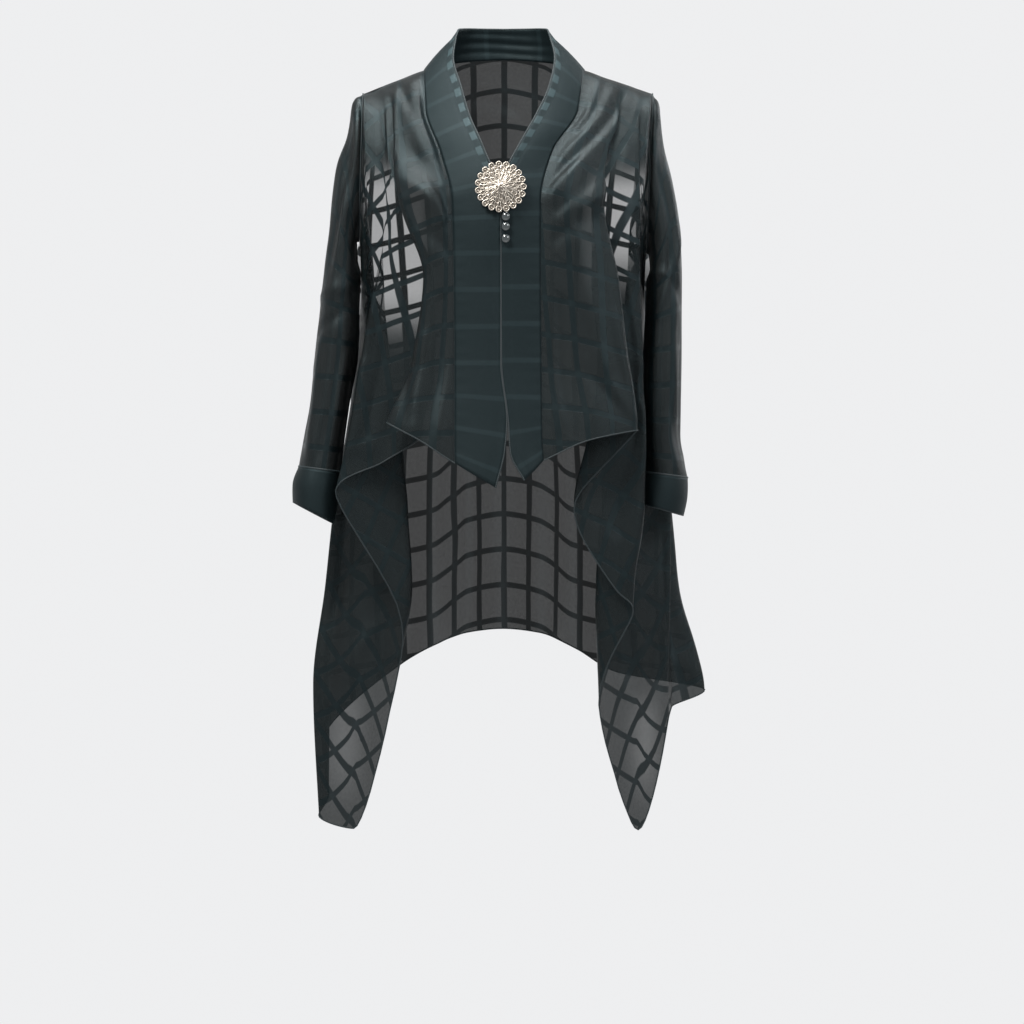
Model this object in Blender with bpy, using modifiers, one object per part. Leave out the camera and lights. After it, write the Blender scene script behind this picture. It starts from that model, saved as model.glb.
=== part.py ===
"""A wide-cut kebaya blouse with long side tails, worn and hollow, in metres, +Z up.

The front faces -Y. Left and right are as seen from the front, so the left side is at -X. The
origin is midway between the two points where the shoulder seams meet the neckband. Tables are in
millimetres. "Out" is the distance from the middle of the body towards that side, "depth" is along
+Y, and "drop" is the distance below the origin.
"""

import math

import bmesh
import bpy
import numpy as np

MM = 0.001
CLOTH = 1.2  # wall of a single cloth
BAND_CLOTH = 1.8  # wall of the folded neckband and the turned cuffs
FLAT_SEAM = 0.3  # between walls that meet in one plane
FOLD_SEAM = 1.7  # from a seam to each of two walls that meet there at an angle

# Drops at which the body's sections are given. The first stands for the shoulder line itself.
LEVELS = (0, 60, 120, 190, 300, 420, 520, 620, 740, 880, 1080)
SHOULDER_ROUNDING = 0.6  # under 1, the cloth leaves the shoulder line flat and then turns down
SIDE_SEAM, NECK_POINT = 8, 12  # places in the tables below

# How far out each fold stands at each of LEVELS, on the left and then on the right.
OUT_LEFT = (
    # fold            top   60  120  190  300  420  520  620  740  880 1080
    ("band seam",    (113, 110,  89,  73,  70,  69,  69,  66,  66,  66,  66)),
    ("mid front",    (133, 127, 114, 100,  92, 100, 118, 122, 122, 122, 122)),
    ("front edge",   (152, 152, 151, 147, 113, 129, 168, 172, 172, 172, 172)),
    ("tuck",         (162, 158, 154, 140,  98,  96, 116, 128, 128, 128, 128)),
    ("wing inner",   (172, 166, 160, 154, 152, 154, 163, 178, 182, 182, 182)),
    ("wing edge",    (180, 172, 166, 163, 179, 199, 218, 240, 242, 242, 242)),
    ("inner fold",   (186, 180, 174, 172, 170, 160, 146, 136, 130, 152, 168)),
    ("tail middle",  (199, 198, 196, 193, 190, 190, 190, 194, 198, 206, 214)),
    ("side seam",    (203, 205, 207, 206, 203, 212, 226, 243, 256, 273, 264)),
    ("back pleat",   (199, 198, 197, 194, 189, 190, 204, 222, 236, 250, 250)),
    ("back fold",    (176, 181, 186, 196, 212, 218, 221, 228, 242, 258, 262)),
    ("shoulder blade", (145, 142, 138, 132, 130, 132, 140, 148, 152, 154, 156)),
    ("neck point",   (113, 108, 104,  98,  94,  94,  98, 102, 104, 104, 104)),
    ("back neck",    ( 58,  57,  54,  50,  48,  48,  50,  52,  52,  52,  52)),
    ("centre back",  (  0,   0,   0,   0,   0,   0,   0,   0,   0,   0,   0)),
)
OUT_RIGHT = (
    # fold            top   60  120  190  300  420  520  620  740  880 1080
    ("band seam",    (117, 107,  70,  54,  54,  55,  56,  60,  60,  60,  60)),
    ("mid front",    (138, 130, 106,  92,  96, 106, 122, 125, 125, 125, 125)),
    ("front edge",   (160, 162, 149, 144, 164, 179, 190, 190, 190, 190, 190)),
    ("tuck",         (172, 168, 146, 126, 126, 136, 122, 101, 104, 104, 104)),
    ("wing inner",   (184, 180, 166, 158, 166, 180, 188, 162, 160, 160, 160)),
    ("wing edge",    (194, 194, 194, 195, 196, 199, 202, 200, 187, 184, 184)),
    ("inner fold",   (202, 198, 190, 184, 176, 166, 152, 140, 132, 136, 150)),
    ("tail middle",  (213, 209, 204, 198, 190, 184, 182, 184, 186, 190, 194)),
    ("side seam",    (214, 215, 213, 208, 202, 210, 226, 242, 241, 238, 244)),
    ("back pleat",   (213, 209, 205, 199, 191, 192, 206, 226, 236, 242, 244)),
    ("back fold",    (186, 190, 193, 200, 215, 222, 228, 243, 254, 290, 300)),
    ("shoulder blade", (150, 146, 141, 134, 131, 133, 141, 150, 156, 162, 166)),
    ("neck point",   (117, 111, 105,  98,  94,  94,  98, 103, 106, 108, 108)),
    ("back neck",    ( 58,  57,  54,  50,  48,  48,  50,  52,  52,  52,  52)),
    ("centre back",  (  0,   0,   0,   0,   0,   0,   0,   0,   0,   0,   0)),
)
# The depth of the same folds at the same levels, the same on both sides.
DEPTH = (
    # fold             top   60  120   190   300   420   520   620   740   880  1080
    ("band seam",      ( 2, -50, -86, -110, -107, -104, -108, -110, -110, -110, -110)),
    ("mid front",      ( 3, -49, -88, -118, -110, -106, -112, -114, -114, -114, -114)),
    ("front edge",     ( 4, -43, -75,  -95,  -94,  -92,  -90,  -88,  -88,  -88,  -88)),
    ("tuck",           ( 5, -40, -69,  -84,  -77,  -73,  -69,  -67,  -66,  -66,  -66)),
    ("wing inner",     ( 6, -38, -64,  -76,  -70,  -64,  -60,  -57,  -56,  -54,  -54)),
    ("wing edge",      ( 7, -36, -60,  -70,  -62,  -56,  -52,  -48,  -46,  -42,  -42)),
    ("inner fold",     ( 7, -35, -56,  -63,  -48,  -34,  -26,  -20,  -14,   -8,   -4)),
    ("tail middle",    ( 8, -34, -51,  -55,  -36,    0,   30,   44,   40,   36,   36)),
    ("side seam",      ( 8,   5,   5,    6,   30,   62,   67,   67,   62,   58,   54)),
    ("back pleat",     ( 8,  42,  60,   66,   72,   82,   87,   86,   82,   77,   72)),
    ("back fold",      ( 8,  52,  76,   86,   93,  100,  106,  105,  101,   94,   88)),
    ("shoulder blade", ( 6,  66,  93,  109,  117,  124,  131,  134,  132,  128,  122)),
    ("neck point",     ( 2,  70,  98,  114,  117,  118,  118,  117,  114,  110,  104)),
    ("back neck",      (58,  95, 111,  121,  129,  137,  144,  149,  149,  146,  140)),
    ("centre back",    (74, 104, 116,  122,  122,  122,  122,  122,  120,  116,  110)),
)
# The drop of each fold's shoulder line, and of its hem on each side.
ENDS = (
    # fold            shoulder  hem left  hem right
    ("band seam",     (    0,       563,      559)),
    ("mid front",     (    8,       530,      530)),
    ("front edge",    (   15,       505,      516)),
    ("tuck",          (   19,       524,      628)),
    ("wing inner",    (   23,       560,      741)),
    ("wing edge",     (   27,       602,      775)),
    ("inner fold",    (   30,       838,      908)),
    ("tail middle",   (   33,      1086,     1088)),
    ("side seam",     (   33,      1068,      925)),
    ("back pleat",    (   33,      1036,      912)),
    ("back fold",     (   24,       962,      888)),
    ("shoulder blade", (  12,       856,      862)),
    ("neck point",    (    0,       826,      830)),
    ("back neck",     (  -14,       806,      806)),
    ("centre back",   (  -18,       800,      800)),
)
ARMHOLE_DEPTH = 5  # the middle of the armhole, front to back
ARMHOLE_REACH = 120  # how far below the armhole its edge still shapes the panel

# Rings of each sleeve, from the armhole down: the outer and the inner point, and half the depth.
SLEEVE_LEFT = (
    # outer out, outer drop, inner out, inner drop, half depth
    (199.0,  33.0, 205.0, 245.0, 36.0),
    (211.0,  52.0, 209.0, 247.0, 41.0),
    (221.0,  97.0, 210.0, 252.0, 42.0),
    (236.0, 141.0, 210.5, 262.0, 42.0),
    (247.0, 234.0, 210.5, 293.0, 42.0),
    (256.0, 292.0, 210.5, 324.0, 42.0),
    (263.0, 352.0, 210.0, 366.0, 42.0),
    (270.0, 413.0, 213.0, 419.0, 41.0),
    (277.0, 478.0, 220.0, 481.0, 41.0),
    (285.0, 520.0, 226.0, 526.0, 40.0),
    (292.0, 566.0, 232.0, 574.0, 40.0),
)
SLEEVE_RIGHT = (
    # outer out, outer drop, inner out, inner drop, half depth
    (213.0,  33.0, 205.0, 262.0, 36.0),
    (221.0,  58.0, 209.0, 264.0, 41.0),
    (231.0, 112.0, 210.0, 269.0, 42.0),
    (243.0, 160.0, 210.0, 279.0, 42.0),
    (254.0, 232.0, 210.0, 302.0, 41.0),
    (256.0, 306.0, 209.0, 335.0, 40.0),
    (256.0, 380.0, 206.5, 390.0, 40.0),
    (255.5, 450.0, 203.5, 454.0, 40.0),
    (254.5, 520.0, 203.0, 516.0, 40.0),
    (260.0, 556.0, 202.5, 550.0, 40.0),
    (264.0, 582.0, 202.0, 574.0, 40.0),
)
# The same for the cuffs, which start where the sleeves end.
CUFF_LEFT = (
    (292.0, 567.2, 232.0, 575.2, 40.0),
    (299.0, 592.0, 237.0, 610.0, 41.0),
    (300.0, 618.0, 243.0, 648.0, 41.0),
)
CUFF_RIGHT = (
    (264.0, 583.2, 202.0, 575.2, 40.0),
    (262.0, 610.0, 200.5, 598.0, 41.0),
    (258.0, 637.0, 199.0, 620.0, 41.0),
)

# The neckband: where its outer edge meets the front, and its free inner edge. Out is negative
# where the edge crosses the middle of the body.
BAND_LEFT = (
    # section         seam drop, edge out, edge depth, edge drop
    ("shoulder",      (  0,  67,    4,  -50)),
    ("collar front",  ( 20,  71,  -22,  -18)),
    ("collarbone",    ( 50,  60,  -52,   24)),
    ("upper neck",    ( 92,  47,  -78,   69)),
    ("middle neck",   (122,  34,  -98,   99)),
    ("lower neck",    (155,  18, -114,  137)),
    ("neck point",    (180, 2.8, -122,  166)),
    ("bust",          (210, 2.8, -125,  206)),
    ("under bust",    (300, 2.8, -117,  300)),
    ("waist",         (420, 3.0, -113,  420)),
    ("parting",       (492, -5.5, -115, 502)),
    ("skirt",         (532,  -2, -118,  548)),
    ("hem",           (562,  10, -120,  596)),
)
BAND_RIGHT = (
    # section         seam drop, edge out, edge depth, edge drop
    ("shoulder",      (  0,   67,    4,  -50)),
    ("collar front",  ( 20,   74,  -22,  -18)),
    ("collarbone",    ( 46,   66,  -50,   24)),
    ("upper neck",    ( 78,   47,  -77,   67)),
    ("middle neck",   (104,   31,  -96,   96)),
    ("lower neck",    (130,   12, -113,  131)),
    ("neck point",    (156, -2.2, -121,  160)),
    ("bust",          (204, -2.2, -125,  205)),
    ("under bust",    (300, -2.2, -117,  300)),
    ("waist",         (420, -1.6, -113,  420)),
    ("parting",       (500,  7.8, -115,  502)),
    ("skirt",         (530,   11, -118,  548)),
    ("hem",           (558,   30, -120,  586)),
)
# The stand at the back of the neck: its free upper edge, shoulder to centre back.
COLLAR = (
    # section         edge out, edge depth, edge drop
    ("shoulder",      (67,  4, -50)),
    ("side",          (63, 28, -60)),
    ("quarter",       (40, 56, -62)),
    ("centre back",   ( 0, 66, -62)),
)
BAND_CROWN = 2.5  # how far the middle of the band stands out

BROOCH_CENTRE = (-3.0, -128.5, -171.5)  # the middle of its back face: x, depth, height
BROOCH_TILT = math.radians(7)  # how far it faces upwards
# The brooch's layers, from the cloth outwards, each with its front raised to a dome.
BROOCH_LAYERS = (
    # name              radius, lobes, lobe depth, points a lobe, edge, dome
    ("brooch_plate",    (33.0,    19,        3.6,              6,  1.6,  0.0)),
    ("brooch_rosette",  (24.0,    12,        2.0,              6,  1.0,  3.0)),
    ("brooch_centre",   ( 7.5,     6,        1.4,              5,  1.0,  2.4)),
)
SHOULDER_OF_DOME = (0.6, 0.7)  # the share of the radius, and of the dome's height, at its ring
BUTTON_OUT, BUTTON_DROPS = 4.2, (213.5, 227.5, 244.5)
BUTTON_RADIUS, BUTTON_HEIGHT = 6.0, 4.2
BUTTON_GAP = 0.8  # between the buttons' backs and the crown of the band under them
BUTTON_SIDES = 20
# A button's outline from the middle of its dome to its edge, in shares of radius and height.
BUTTON_DOME = ((0, 1), (0.45, 0.93), (0.78, 0.7), (0.95, 0.42), (1, 0.22), (0.93, 0), (0, 0))
BAND_WIDTH = 56  # at the buttons

# Columns of cloth in each stretch between two folds, and rows from shoulder to hem.
FRONT_COLUMNS = (3, 4, 4, 3, 3, 4, 4, 4)
BACK_COLUMNS = (4, 3, 3, 3, 3, 3)
ROWS = 16
ROW_CROWDING = 1.25  # over 1, rows lie closer together at the top
SLEEVE_SIDES, SLEEVE_ROWS, CUFF_ROWS = 16, 12, 2
BAND_COLUMNS = 3

MATERIALS = {
    # name            colour (linear), roughness, metallic
    "sheer_check": ((0.010, 0.020, 0.024), 0.62, 0.0),
    "folded_band": ((0.013, 0.026, 0.031), 0.55, 0.0),
    "dark_button": ((0.006, 0.012, 0.012), 0.18, 0.0),
    "pale_silver": ((0.62, 0.58, 0.52), 0.34, 1.0),
}


def smooth_through(knots, values, at):
    """Values at any places, on a cubic curve through the given ones that never overshoots them."""
    knots, values, at = (np.asarray(a, float) for a in (knots, values, at))
    steps = np.diff(knots)
    slopes = np.diff(values, axis=0) / steps.reshape(-1, *[1] * (values.ndim - 1))
    before, after = slopes[:-1], slopes[1:]
    total = np.where(before * after > 0, before + after, 1)
    tangents = np.concatenate(
        [slopes[:1], np.where(before * after > 0, 2 * before * after / total, 0), slopes[-1:]]
    )
    span = np.clip(np.searchsorted(knots, at) - 1, 0, len(steps) - 1)
    shape = at.shape + (1,) * (values.ndim - 1)
    width = steps[span].reshape(shape)
    t = ((at - knots[span]) / steps[span]).reshape(shape)
    start, end = values[span], values[span + 1]
    return (
        start * (1 + 2 * t) * (1 - t) ** 2
        + tangents[span] * width * t * (1 - t) ** 2
        + end * t**2 * (3 - 2 * t)
        + tangents[span + 1] * width * t**2 * (t - 1)
    )


def ease(t):
    """A smooth step from 0 to 1."""
    t = np.clip(t, 0, 1)
    return t * t * (3 - 2 * t)


def numbers(table):
    return np.array([row[1] for row in table], float)


def round_the_body(left, right):
    """A left column or table, then the right one backwards, joined at the centre back."""
    return np.concatenate([left, right[-2::-1]])


ACROSS = round_the_body(-numbers(OUT_LEFT), numbers(OUT_RIGHT))
ALONG = round_the_body(numbers(DEPTH), numbers(DEPTH))
SHOULDER = round_the_body(numbers(ENDS)[:, 0], numbers(ENDS)[:, 0])
HEM = round_the_body(numbers(ENDS)[:, 1], numbers(ENDS)[:, 2])
PLACES = np.arange(len(HEM))
LAST = len(HEM) - 1


def armhole(side, turn):
    """A point of the armhole, in mm. Turn 0 is the shoulder, a half is the underarm, 1 the shoulder."""
    outer_out, top, inner_out, bottom, half = (SLEEVE_LEFT, SLEEVE_RIGHT)[side > 0][0]
    angle = 2 * math.pi * turn
    share = (1 - math.cos(angle)) / 2
    out = outer_out + (inner_out - outer_out) * share
    return side * out, ARMHOLE_DEPTH - half * math.sin(angle), top + (bottom - top) * share


def armhole_turn(place):
    """Which armhole a place round the body meets, and where on it, or None."""
    for side, seam, way in ((-1, SIDE_SEAM, 1), (1, LAST - SIDE_SEAM, -1)):
        if abs(place - seam) <= 1:
            return side, 0.5 + way * (place - seam) / 2
    return None


def top_of(place):
    """The drop of the panel's upper edge at a place round the body."""
    met = armhole_turn(place)
    return armhole(*met)[2] if met else float(smooth_through(PLACES, SHOULDER, place))


def hem_of(place):
    return float(smooth_through(PLACES, HEM, place))


def body_point(place, drop):
    """Where the cloth hangs at a place round the body and a drop, in mm."""
    level = drop
    if drop < LEVELS[1]:
        shoulder = float(smooth_through(PLACES, SHOULDER, place))
        share = max(drop - shoulder, 0) / (LEVELS[1] - shoulder)
        level = LEVELS[1] * share**SHOULDER_ROUNDING
    x = float(smooth_through(PLACES, smooth_through(LEVELS, ACROSS.T, level), place))
    y = float(smooth_through(PLACES, smooth_through(LEVELS, ALONG.T, level), place))
    return np.array((x, y, -drop))


def panel_point(place, drop):
    """The same, pulled to the armhole's edge below it."""
    met = armhole_turn(place)
    point = body_point(place, drop)
    if met:
        x, y, top = armhole(*met)
        pull = 1 - ease((drop - top) / ARMHOLE_REACH)
        gap = body_point(place, top)
        point += pull * np.array((x - gap[0], y - gap[1], 0))
    return point


def spread(counts, first):
    """Places round the body, with so many columns from each fold to the next."""
    places = [first]
    for stretch, count in enumerate(counts):
        places += [first + stretch + (i + 1) / count for i in range(count)]
    return places


def drape(places):
    """Rows of points from the upper edge to the hem, closer together at the top."""
    down = [(i / ROWS) ** ROW_CROWDING for i in range(ROWS + 1)]
    return np.array(
        [[panel_point(p, top_of(p) + (hem_of(p) - top_of(p)) * v) for p in places] for v in down]
    )


def drawn_in(edge, inner, distance):
    """An edge's points moved this far towards the line of points inside it."""
    away = inner - edge
    return edge + away * distance / np.linalg.norm(away, axis=-1, keepdims=True)


def cloth(name, rows, thickness, material, around=False, flip=False):
    """A wall of cloth with its middle on rows of points. Around closes each row into a ring."""
    rows = np.array(rows) * MM
    count, width = rows.shape[:2]
    faces = []
    for i in range(count - 1):
        for j in range(width if around else width - 1):
            k = (j + 1) % width
            face = (i * width + j, (i + 1) * width + j, (i + 1) * width + k, i * width + k)
            faces.append(face[::-1] if flip else face)
    mesh = bpy.data.meshes.new(name)
    mesh.from_pydata(rows.reshape(-1, 3).tolist(), [], faces)
    mesh.shade_smooth()
    obj = add(name, mesh, material)
    wall = obj.modifiers.new("wall", "SOLIDIFY")
    wall.thickness = thickness * MM
    wall.offset = 0.0
    return obj


def add(name, mesh, material):
    obj = bpy.data.objects.new(name, mesh)
    mesh.materials.append(bpy.data.materials[material])
    bpy.data.collections["kebaya_blouse"].objects.link(obj)
    return obj


def make_materials():
    for name, (colour, roughness, metallic) in MATERIALS.items():
        material = bpy.data.materials.new(name)
        material.use_nodes = True
        shader = material.node_tree.nodes["Principled BSDF"]
        shader.inputs["Base Color"].default_value = (*colour, 1)
        shader.inputs["Roughness"].default_value = roughness
        shader.inputs["Metallic"].default_value = metallic


def make_panels():
    """Two fronts and a back. Returns the fronts' and the back's rows of points."""
    left = drape(spread(FRONT_COLUMNS, 0))
    right = drape([LAST - p for p in spread(FRONT_COLUMNS, 0)[::-1]])
    half = spread(BACK_COLUMNS, SIDE_SEAM)
    back = drape(half + [LAST - p for p in half[-2::-1]])
    for name, rows, gaps in (
        ("front_left", left, (FLAT_SEAM, FOLD_SEAM)),
        ("front_right", right, (FOLD_SEAM, FLAT_SEAM)),
        ("back", back, (FOLD_SEAM, FOLD_SEAM)),
    ):
        wall = rows.copy()
        first, last = gaps
        wall[0] = drawn_in(rows[0], rows[1], FOLD_SEAM)
        wall[:, 0] = drawn_in(wall[:, 0], wall[:, 1], first)
        wall[:, -1] = drawn_in(wall[:, -1], wall[:, -2], last)
        cloth(name, wall, CLOTH, "sheer_check")
    return left, right, back


def across_band(seam, edge):
    """Points from just inside a seam to a free edge, crowned in the middle, away from the neck."""
    start = drawn_in(seam, edge, FLAT_SEAM)
    outwards = np.array((seam[0] + edge[0], seam[1] + edge[1], 0))
    outwards /= max(np.linalg.norm(outwards), 1)
    shares = [i / BAND_COLUMNS for i in range(BAND_COLUMNS + 1)]
    return [
        start + (edge - start) * t + outwards * BAND_CROWN * math.sin(math.pi * t) for t in shares
    ]


def front_band(table, side, seams):
    """Rows of points across one front length of the neckband, along the front's seam."""
    table = numbers(table)
    rows = []
    for seam in seams:
        out, depth, drop = smooth_through(table[:, 0], table[:, 1:], -seam[2])
        rows.append(across_band(seam, np.array((side * out, depth, -drop))))
    rows = np.array(rows)
    rows[0] = drawn_in(rows[0], rows[1], FOLD_SEAM)
    return rows


def make_neckband(left, right, back):
    """The band's front lengths along the fronts' edges, and its stand along the back's top edge."""
    cloth("band_left", front_band(BAND_LEFT, -1, left[:, 0]), BAND_CLOTH, "folded_band")
    rows = front_band(BAND_RIGHT, 1, right[:, -1])
    cloth("band_right", rows, BAND_CLOTH, "folded_band", flip=True)
    table = numbers(COLLAR)
    reach = sum(BACK_COLUMNS[NECK_POINT - SIDE_SEAM :])
    middle = sum(BACK_COLUMNS)
    rows = []
    for at in range(-reach, reach + 1):
        share = (len(table) - 1) * (1 - abs(at) / reach)
        out, depth, drop = smooth_through(range(len(table)), table, share)
        edge = np.array((math.copysign(out, at), depth, -drop))
        rows.append(across_band(back[0, middle + at], edge))
    rows = np.array(rows)
    rows[0] = drawn_in(rows[0], rows[1], FOLD_SEAM)
    rows[-1] = drawn_in(rows[-1], rows[-2], FOLD_SEAM)
    cloth("collar_back", rows, BAND_CLOTH, "folded_band")


def tube_rows(table, side, rows):
    """Rings through a sleeve's or cuff's table."""
    table = np.array(table)
    found = []
    for at in np.linspace(0, len(table) - 1, rows + 1):
        outer_out, outer_drop, inner_out, inner_drop, half = smooth_through(
            np.arange(len(table)), table, at
        )
        ring = []
        for i in range(SLEEVE_SIDES):
            angle = 2 * math.pi * i / SLEEVE_SIDES
            share = (1 - math.cos(angle)) / 2
            out = outer_out + (inner_out - outer_out) * share
            drop = outer_drop + (inner_drop - outer_drop) * share
            ring.append((side * out, ARMHOLE_DEPTH - half * math.sin(angle), -drop))
        found.append(ring)
    return found


def make_sleeves():
    for name, side, sleeve, cuff in (
        ("left", -1, SLEEVE_LEFT, CUFF_LEFT),
        ("right", 1, SLEEVE_RIGHT, CUFF_RIGHT),
    ):
        rows = np.array(tube_rows(sleeve, side, SLEEVE_ROWS))
        rows[0, :, 0] += side * FOLD_SEAM
        flip = side < 0
        cloth(f"sleeve_{name}", rows, CLOTH, "sheer_check", around=True, flip=flip)
        rows = tube_rows(cuff, side, CUFF_ROWS)
        cloth(f"cuff_{name}", rows, BAND_CLOTH, "folded_band", around=True, flip=flip)


def make_buttons():
    """Domed buttons, each a profile turned about its axis."""
    points = [(r * BUTTON_RADIUS * MM, 0, h * BUTTON_HEIGHT * MM) for r, h in BUTTON_DOME]
    edges = [(i, i + 1) for i in range(len(points) - 1)]
    for number, drop in enumerate(BUTTON_DROPS, 1):
        mesh = bpy.data.meshes.new(f"button_{number}")
        mesh.from_pydata(points, edges, [])
        button = add(f"button_{number}", mesh, "dark_button")
        turned = button.modifiers.new("turned", "SCREW")
        turned.steps = turned.render_steps = BUTTON_SIDES
        turned.use_merge_vertices = True
        turned.merge_threshold = 0.0001
        depth = band_face(drop) - BAND_CLOTH / 2 - BUTTON_GAP
        button.location = (BUTTON_OUT * MM, depth * MM, -drop * MM)
        button.rotation_euler = (math.radians(90), 0, 0)


def band_face(drop):
    """The depth of the right band's middle surface near the buttons."""
    table = numbers(BAND_RIGHT)
    edge = float(smooth_through(table[:, 3], table[:, 2], drop))
    share = (BUTTON_OUT + BUTTON_RADIUS) / BAND_WIDTH
    return edge - BAND_CROWN * math.sin(math.pi * share)


def scalloped(radius, loops, depth, points_per_loop):
    """A round outline whose edge swells into equal loops."""
    count = loops * points_per_loop
    found = []
    for i in range(count):
        angle = 2 * math.pi * i / count
        reach = radius + depth * abs(math.sin(loops * angle / 2))
        found.append((reach * math.cos(angle), reach * math.sin(angle)))
    return found


def plate(name, outline, edge, dome):
    """A flat-backed plate with this outline and thickness, its front raised towards the middle."""
    mesh = bpy.data.meshes.new(name)
    shape = bmesh.new()
    inner, rise = SHOULDER_OF_DOME
    rings = []
    for share, height in ((1, 0), (1, edge), (inner, edge + rise * dome)):
        ring = [(x * share * MM, y * share * MM, height * MM) for x, y in outline]
        rings.append([shape.verts.new(point) for point in ring])
    crown = shape.verts.new((0, 0, (edge + dome) * MM))
    foot = shape.verts.new((0, 0, 0))
    for i in range(len(outline)):
        j = (i + 1) % len(outline)
        for low, high in zip(rings[:-1], rings[1:]):
            shape.faces.new((low[i], low[j], high[j], high[i]))
        shape.faces.new((rings[-1][i], rings[-1][j], crown))
        shape.faces.new((rings[0][j], rings[0][i], foot))
    shape.to_mesh(mesh)
    shape.free()
    return add(name, mesh, "pale_silver")


def make_brooch():
    """A scalloped plate, a domed rosette on it and a small flower on that, 0.3 mm apart."""
    turn = math.radians(90) - BROOCH_TILT
    x, y, z = BROOCH_CENTRE
    height = 0.0
    for name, (radius, lobes, lobe_depth, points, edge, dome) in BROOCH_LAYERS:
        piece = plate(name, scalloped(radius, lobes, lobe_depth, points), edge, dome)
        depth, lift = -math.sin(turn) * height, math.cos(turn) * height
        piece.location = (x * MM, (y + depth) * MM, (z + lift) * MM)
        piece.rotation_euler = (turn, 0, 0)
        height += edge + dome + FLAT_SEAM


def main():
    for obj in list(bpy.data.objects):
        bpy.data.objects.remove(obj, do_unlink=True)
    blouse = bpy.data.collections.new("kebaya_blouse")
    bpy.context.scene.collection.children.link(blouse)
    make_materials()
    make_neckband(*make_panels())
    make_sleeves()
    make_buttons()
    make_brooch()


main()
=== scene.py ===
"""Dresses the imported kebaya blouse: sheer checked cloth, folded bands, buttons and a brooch.

The front faces -Y and left and right are as seen from the front. Tables are in millimetres, "out"
is the distance from the middle of the body, "depth" is along +Y and "drop" is the distance below
the origin. Every mesh is in metres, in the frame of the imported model.
"""

from __future__ import annotations

import logging
import math
from dataclasses import dataclass, field
from enum import Enum
from typing import Any, Iterable, Sequence

import bmesh
import bpy
import numpy as np
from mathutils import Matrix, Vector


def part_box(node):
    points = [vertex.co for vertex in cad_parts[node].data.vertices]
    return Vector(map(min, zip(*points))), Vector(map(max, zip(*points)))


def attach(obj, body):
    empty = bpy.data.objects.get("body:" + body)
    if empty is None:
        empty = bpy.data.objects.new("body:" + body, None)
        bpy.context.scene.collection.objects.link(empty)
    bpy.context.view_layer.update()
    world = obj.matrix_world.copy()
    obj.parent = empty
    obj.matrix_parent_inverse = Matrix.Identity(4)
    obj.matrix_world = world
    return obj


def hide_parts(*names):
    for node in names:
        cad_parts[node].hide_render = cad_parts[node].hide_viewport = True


LOG = logging.getLogger("kebaya")
MM = 0.001
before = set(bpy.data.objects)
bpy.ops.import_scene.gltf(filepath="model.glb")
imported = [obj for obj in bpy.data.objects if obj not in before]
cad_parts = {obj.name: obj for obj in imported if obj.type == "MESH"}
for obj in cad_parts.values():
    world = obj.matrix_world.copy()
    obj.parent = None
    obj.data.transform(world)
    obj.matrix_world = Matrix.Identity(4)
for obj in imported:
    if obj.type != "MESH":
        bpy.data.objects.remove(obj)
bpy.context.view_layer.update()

LEVELS = (0, 60, 120, 190, 300, 420, 520, 620, 740, 880, 1080)
SHOULDER_ROUNDING = 0.6
SIDE_SEAM, CENTRE_BACK, LAST = 8, 14, 28  # places round the body, in the tables' order
ARMHOLE_DEPTH, ARMHOLE_REACH = 5, 120

OUT_LEFT = (
    # fold            top   60  120  190  300  420  520  620  740  880 1080
    ("band seam",    (113, 110,  89,  73,  70,  69,  69,  66,  66,  66,  66)),
    ("mid front",    (133, 127, 114, 100,  92, 100, 118, 122, 122, 122, 122)),
    ("front edge",   (152, 152, 151, 147, 113, 129, 168, 172, 172, 172, 172)),
    ("tuck",         (162, 158, 154, 140,  98,  96, 116, 128, 128, 128, 128)),
    ("wing inner",   (172, 166, 160, 154, 152, 154, 163, 178, 182, 182, 182)),
    ("wing edge",    (180, 172, 166, 163, 179, 199, 218, 240, 242, 242, 242)),
    ("inner fold",   (186, 180, 174, 172, 170, 160, 146, 136, 130, 152, 168)),
    ("tail middle",  (199, 198, 196, 193, 190, 190, 190, 194, 198, 206, 214)),
    ("side seam",    (203, 205, 207, 206, 203, 212, 226, 243, 256, 273, 264)),
    ("back pleat",   (199, 198, 197, 194, 189, 190, 204, 222, 236, 250, 250)),
    ("back fold",    (176, 181, 186, 196, 212, 218, 221, 228, 242, 258, 262)),
    ("shoulder blade", (145, 142, 138, 132, 130, 132, 140, 148, 152, 154, 156)),
    ("neck point",   (113, 108, 104,  98,  94,  94,  98, 102, 104, 104, 104)),
    ("back neck",    ( 58,  57,  54,  50,  48,  48,  50,  52,  52,  52,  52)),
    ("centre back",  (  0,   0,   0,   0,   0,   0,   0,   0,   0,   0,   0)),
)
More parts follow.
